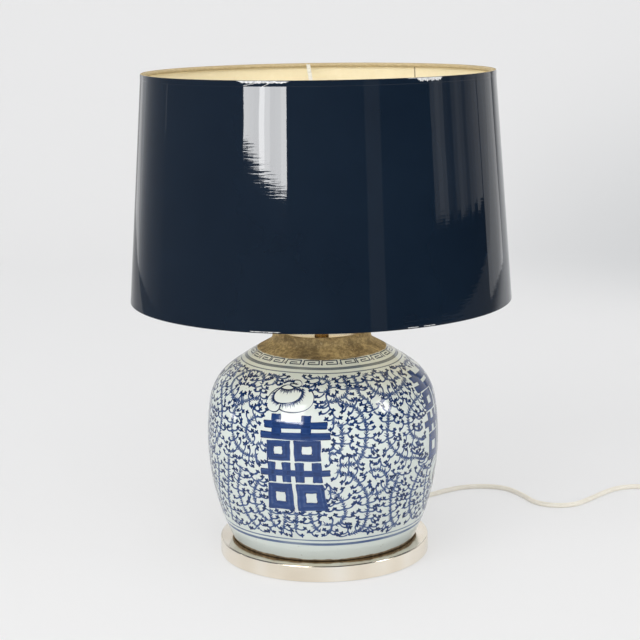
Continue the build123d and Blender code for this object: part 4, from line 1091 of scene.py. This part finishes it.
ring_radius = 1.7
ring_turn = np.linspace(0, 2 * math.pi, 17)[:-1]
for name, replaced, height in (
        ("top_taped_ring", "top_ring", shade_high[1] - ring_radius),
        ("bottom_taped_ring", "bottom_ring", shade_low[1] + ring_radius)):
    ring_middle = shade_radius(height, inner_skin + ring_radius + 0.05)
    outline = np.column_stack([
        ring_middle + ring_radius * np.cos(ring_turn), height + ring_radius * np.sin(ring_turn)])
    spin(name, outline, replaced, "shade", [tape], sharp=80)

# ---- Cord, switch and plug ---------------------------------------------------------------------
# A round ivory sheath. It leaves a moulded bushing behind the plate, waves along the table to the
# switch, and its spare length lies wound in a coil beside the plug.

cord_diameter, table_level = 0.005, 0.0025


def cord_piece(name, route, nodes_replaced, **facts):
    """Round tube on a NURBS line whose control points are the route, in metres."""
    line_data = bpy.data.curves.new(name, "CURVE")
    line_data.dimensions = "3D"
    spline = line_data.splines.new("NURBS")
    spline.points.add(len(route) - 1)
    for point, place in zip(spline.points, route):
        point.co = (*place, 1)
    spline.order_u = 3
    spline.use_endpoint_u = True
    line_data.resolution_u = 8
    line_data.bevel_depth = cord_diameter / 2
    line_data.bevel_resolution = 4
    line_data.use_fill_caps = True
    piece = bpy.data.objects.new(name, line_data)
    scene.collection.objects.link(piece)
    line_data.materials.append(cord_sheath.material)
    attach(piece, "base")
    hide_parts(*nodes_replaced)


bushing_level, bushing_end = 0.0064, 0.122
switch_x, switch_y, switch_level, switch_half, switch_grip = 0.383, 0.051, 0.006, 0.033, 0.008


def on_table(*places):
    """Route points where the cord lies on the table."""
    return [(x, y, table_level) for x, y in places]


to_switch = [
    (0, bushing_end, bushing_level), (0, 0.136, bushing_level),
    *on_table(
        (0.002, 0.153), (0.010, 0.170), (0.029, 0.180), (0.051, 0.175), (0.070, 0.160), (0.089, 0.148),
        (0.110, 0.151), (0.127, 0.166), (0.146, 0.178), (0.168, 0.181), (0.189, 0.175), (0.201, 0.159),
        (0.209, 0.1405), (0.216, 0.121), (0.2336, 0.1096), (0.2555, 0.1119), (0.273, 0.130),
        (0.2895, 0.1495), (0.308, 0.168), (0.332, 0.1735), (0.355, 0.166), (0.373, 0.148),
        (switch_x, 0.123)),
    (switch_x, 0.101, switch_level), (switch_x, switch_y + switch_half - switch_grip, switch_level),
]
cord_piece(
    "lamp_cord", to_switch, ["cord_to_switch"], length=0.56, far_end="fitting", lay="loose",
    with_pieces=["switch_base", "switch_cover", "switch_rocker", "switch_screws"])

coil_pitch, coil_middle, coil_layer_turns, coil_y = 0.0055, 0.0275, 2.75, -0.042
coil_x = switch_x - coil_middle - coil_pitch * coil_layer_turns / 2
coil_total = 2 * coil_layer_turns + 0.5


def coil_spot(turns):
    """Centreline of the coil: in along the lower layer, up within half a turn, out along the upper."""
    inner = coil_middle - coil_pitch * coil_layer_turns / 2
    back = coil_layer_turns + 0.5
    share = np.clip((turns - coil_layer_turns) / 0.5, 0, 1)
    layers_out = np.maximum(coil_layer_turns - turns, 0) + np.maximum(turns - back, 0)
    radius = inner + coil_pitch * layers_out
    radius = radius - coil_pitch / (2 * math.pi) * np.sin(math.pi * share)
    level = table_level + coil_pitch * (1 - np.cos(math.pi * share)) / 2
    angle = -2 * math.pi * turns
    return np.stack([coil_x + radius * np.cos(angle), coil_y + radius * np.sin(angle), level], -1)


coil_route = coil_spot(np.linspace(0, coil_total, 16 * 6 + 1)).tolist()
plug_level, plug_back = 0.00685, coil_y - 0.048
to_coil = [
    (switch_x, switch_y - switch_half + switch_grip, switch_level), (switch_x, 0.010, switch_level),
    (switch_x, -0.012, table_level), (switch_x, coil_y, table_level)]
to_plug = [
    (switch_x, coil_y, table_level + coil_pitch), (switch_x, coil_y - 0.014, table_level + coil_pitch),
    (switch_x, coil_y - 0.032, plug_level), (switch_x, plug_back, plug_level)]
cord_piece(
    "plug_cord", to_coil + coil_route[1:-1] + to_plug, ["cord_to_coil", "cord_coil", "cord_to_plug"],
    length=1.12, far_end="plug", lay="coiled", with_pieces=["plug_body", "plug_pins"])
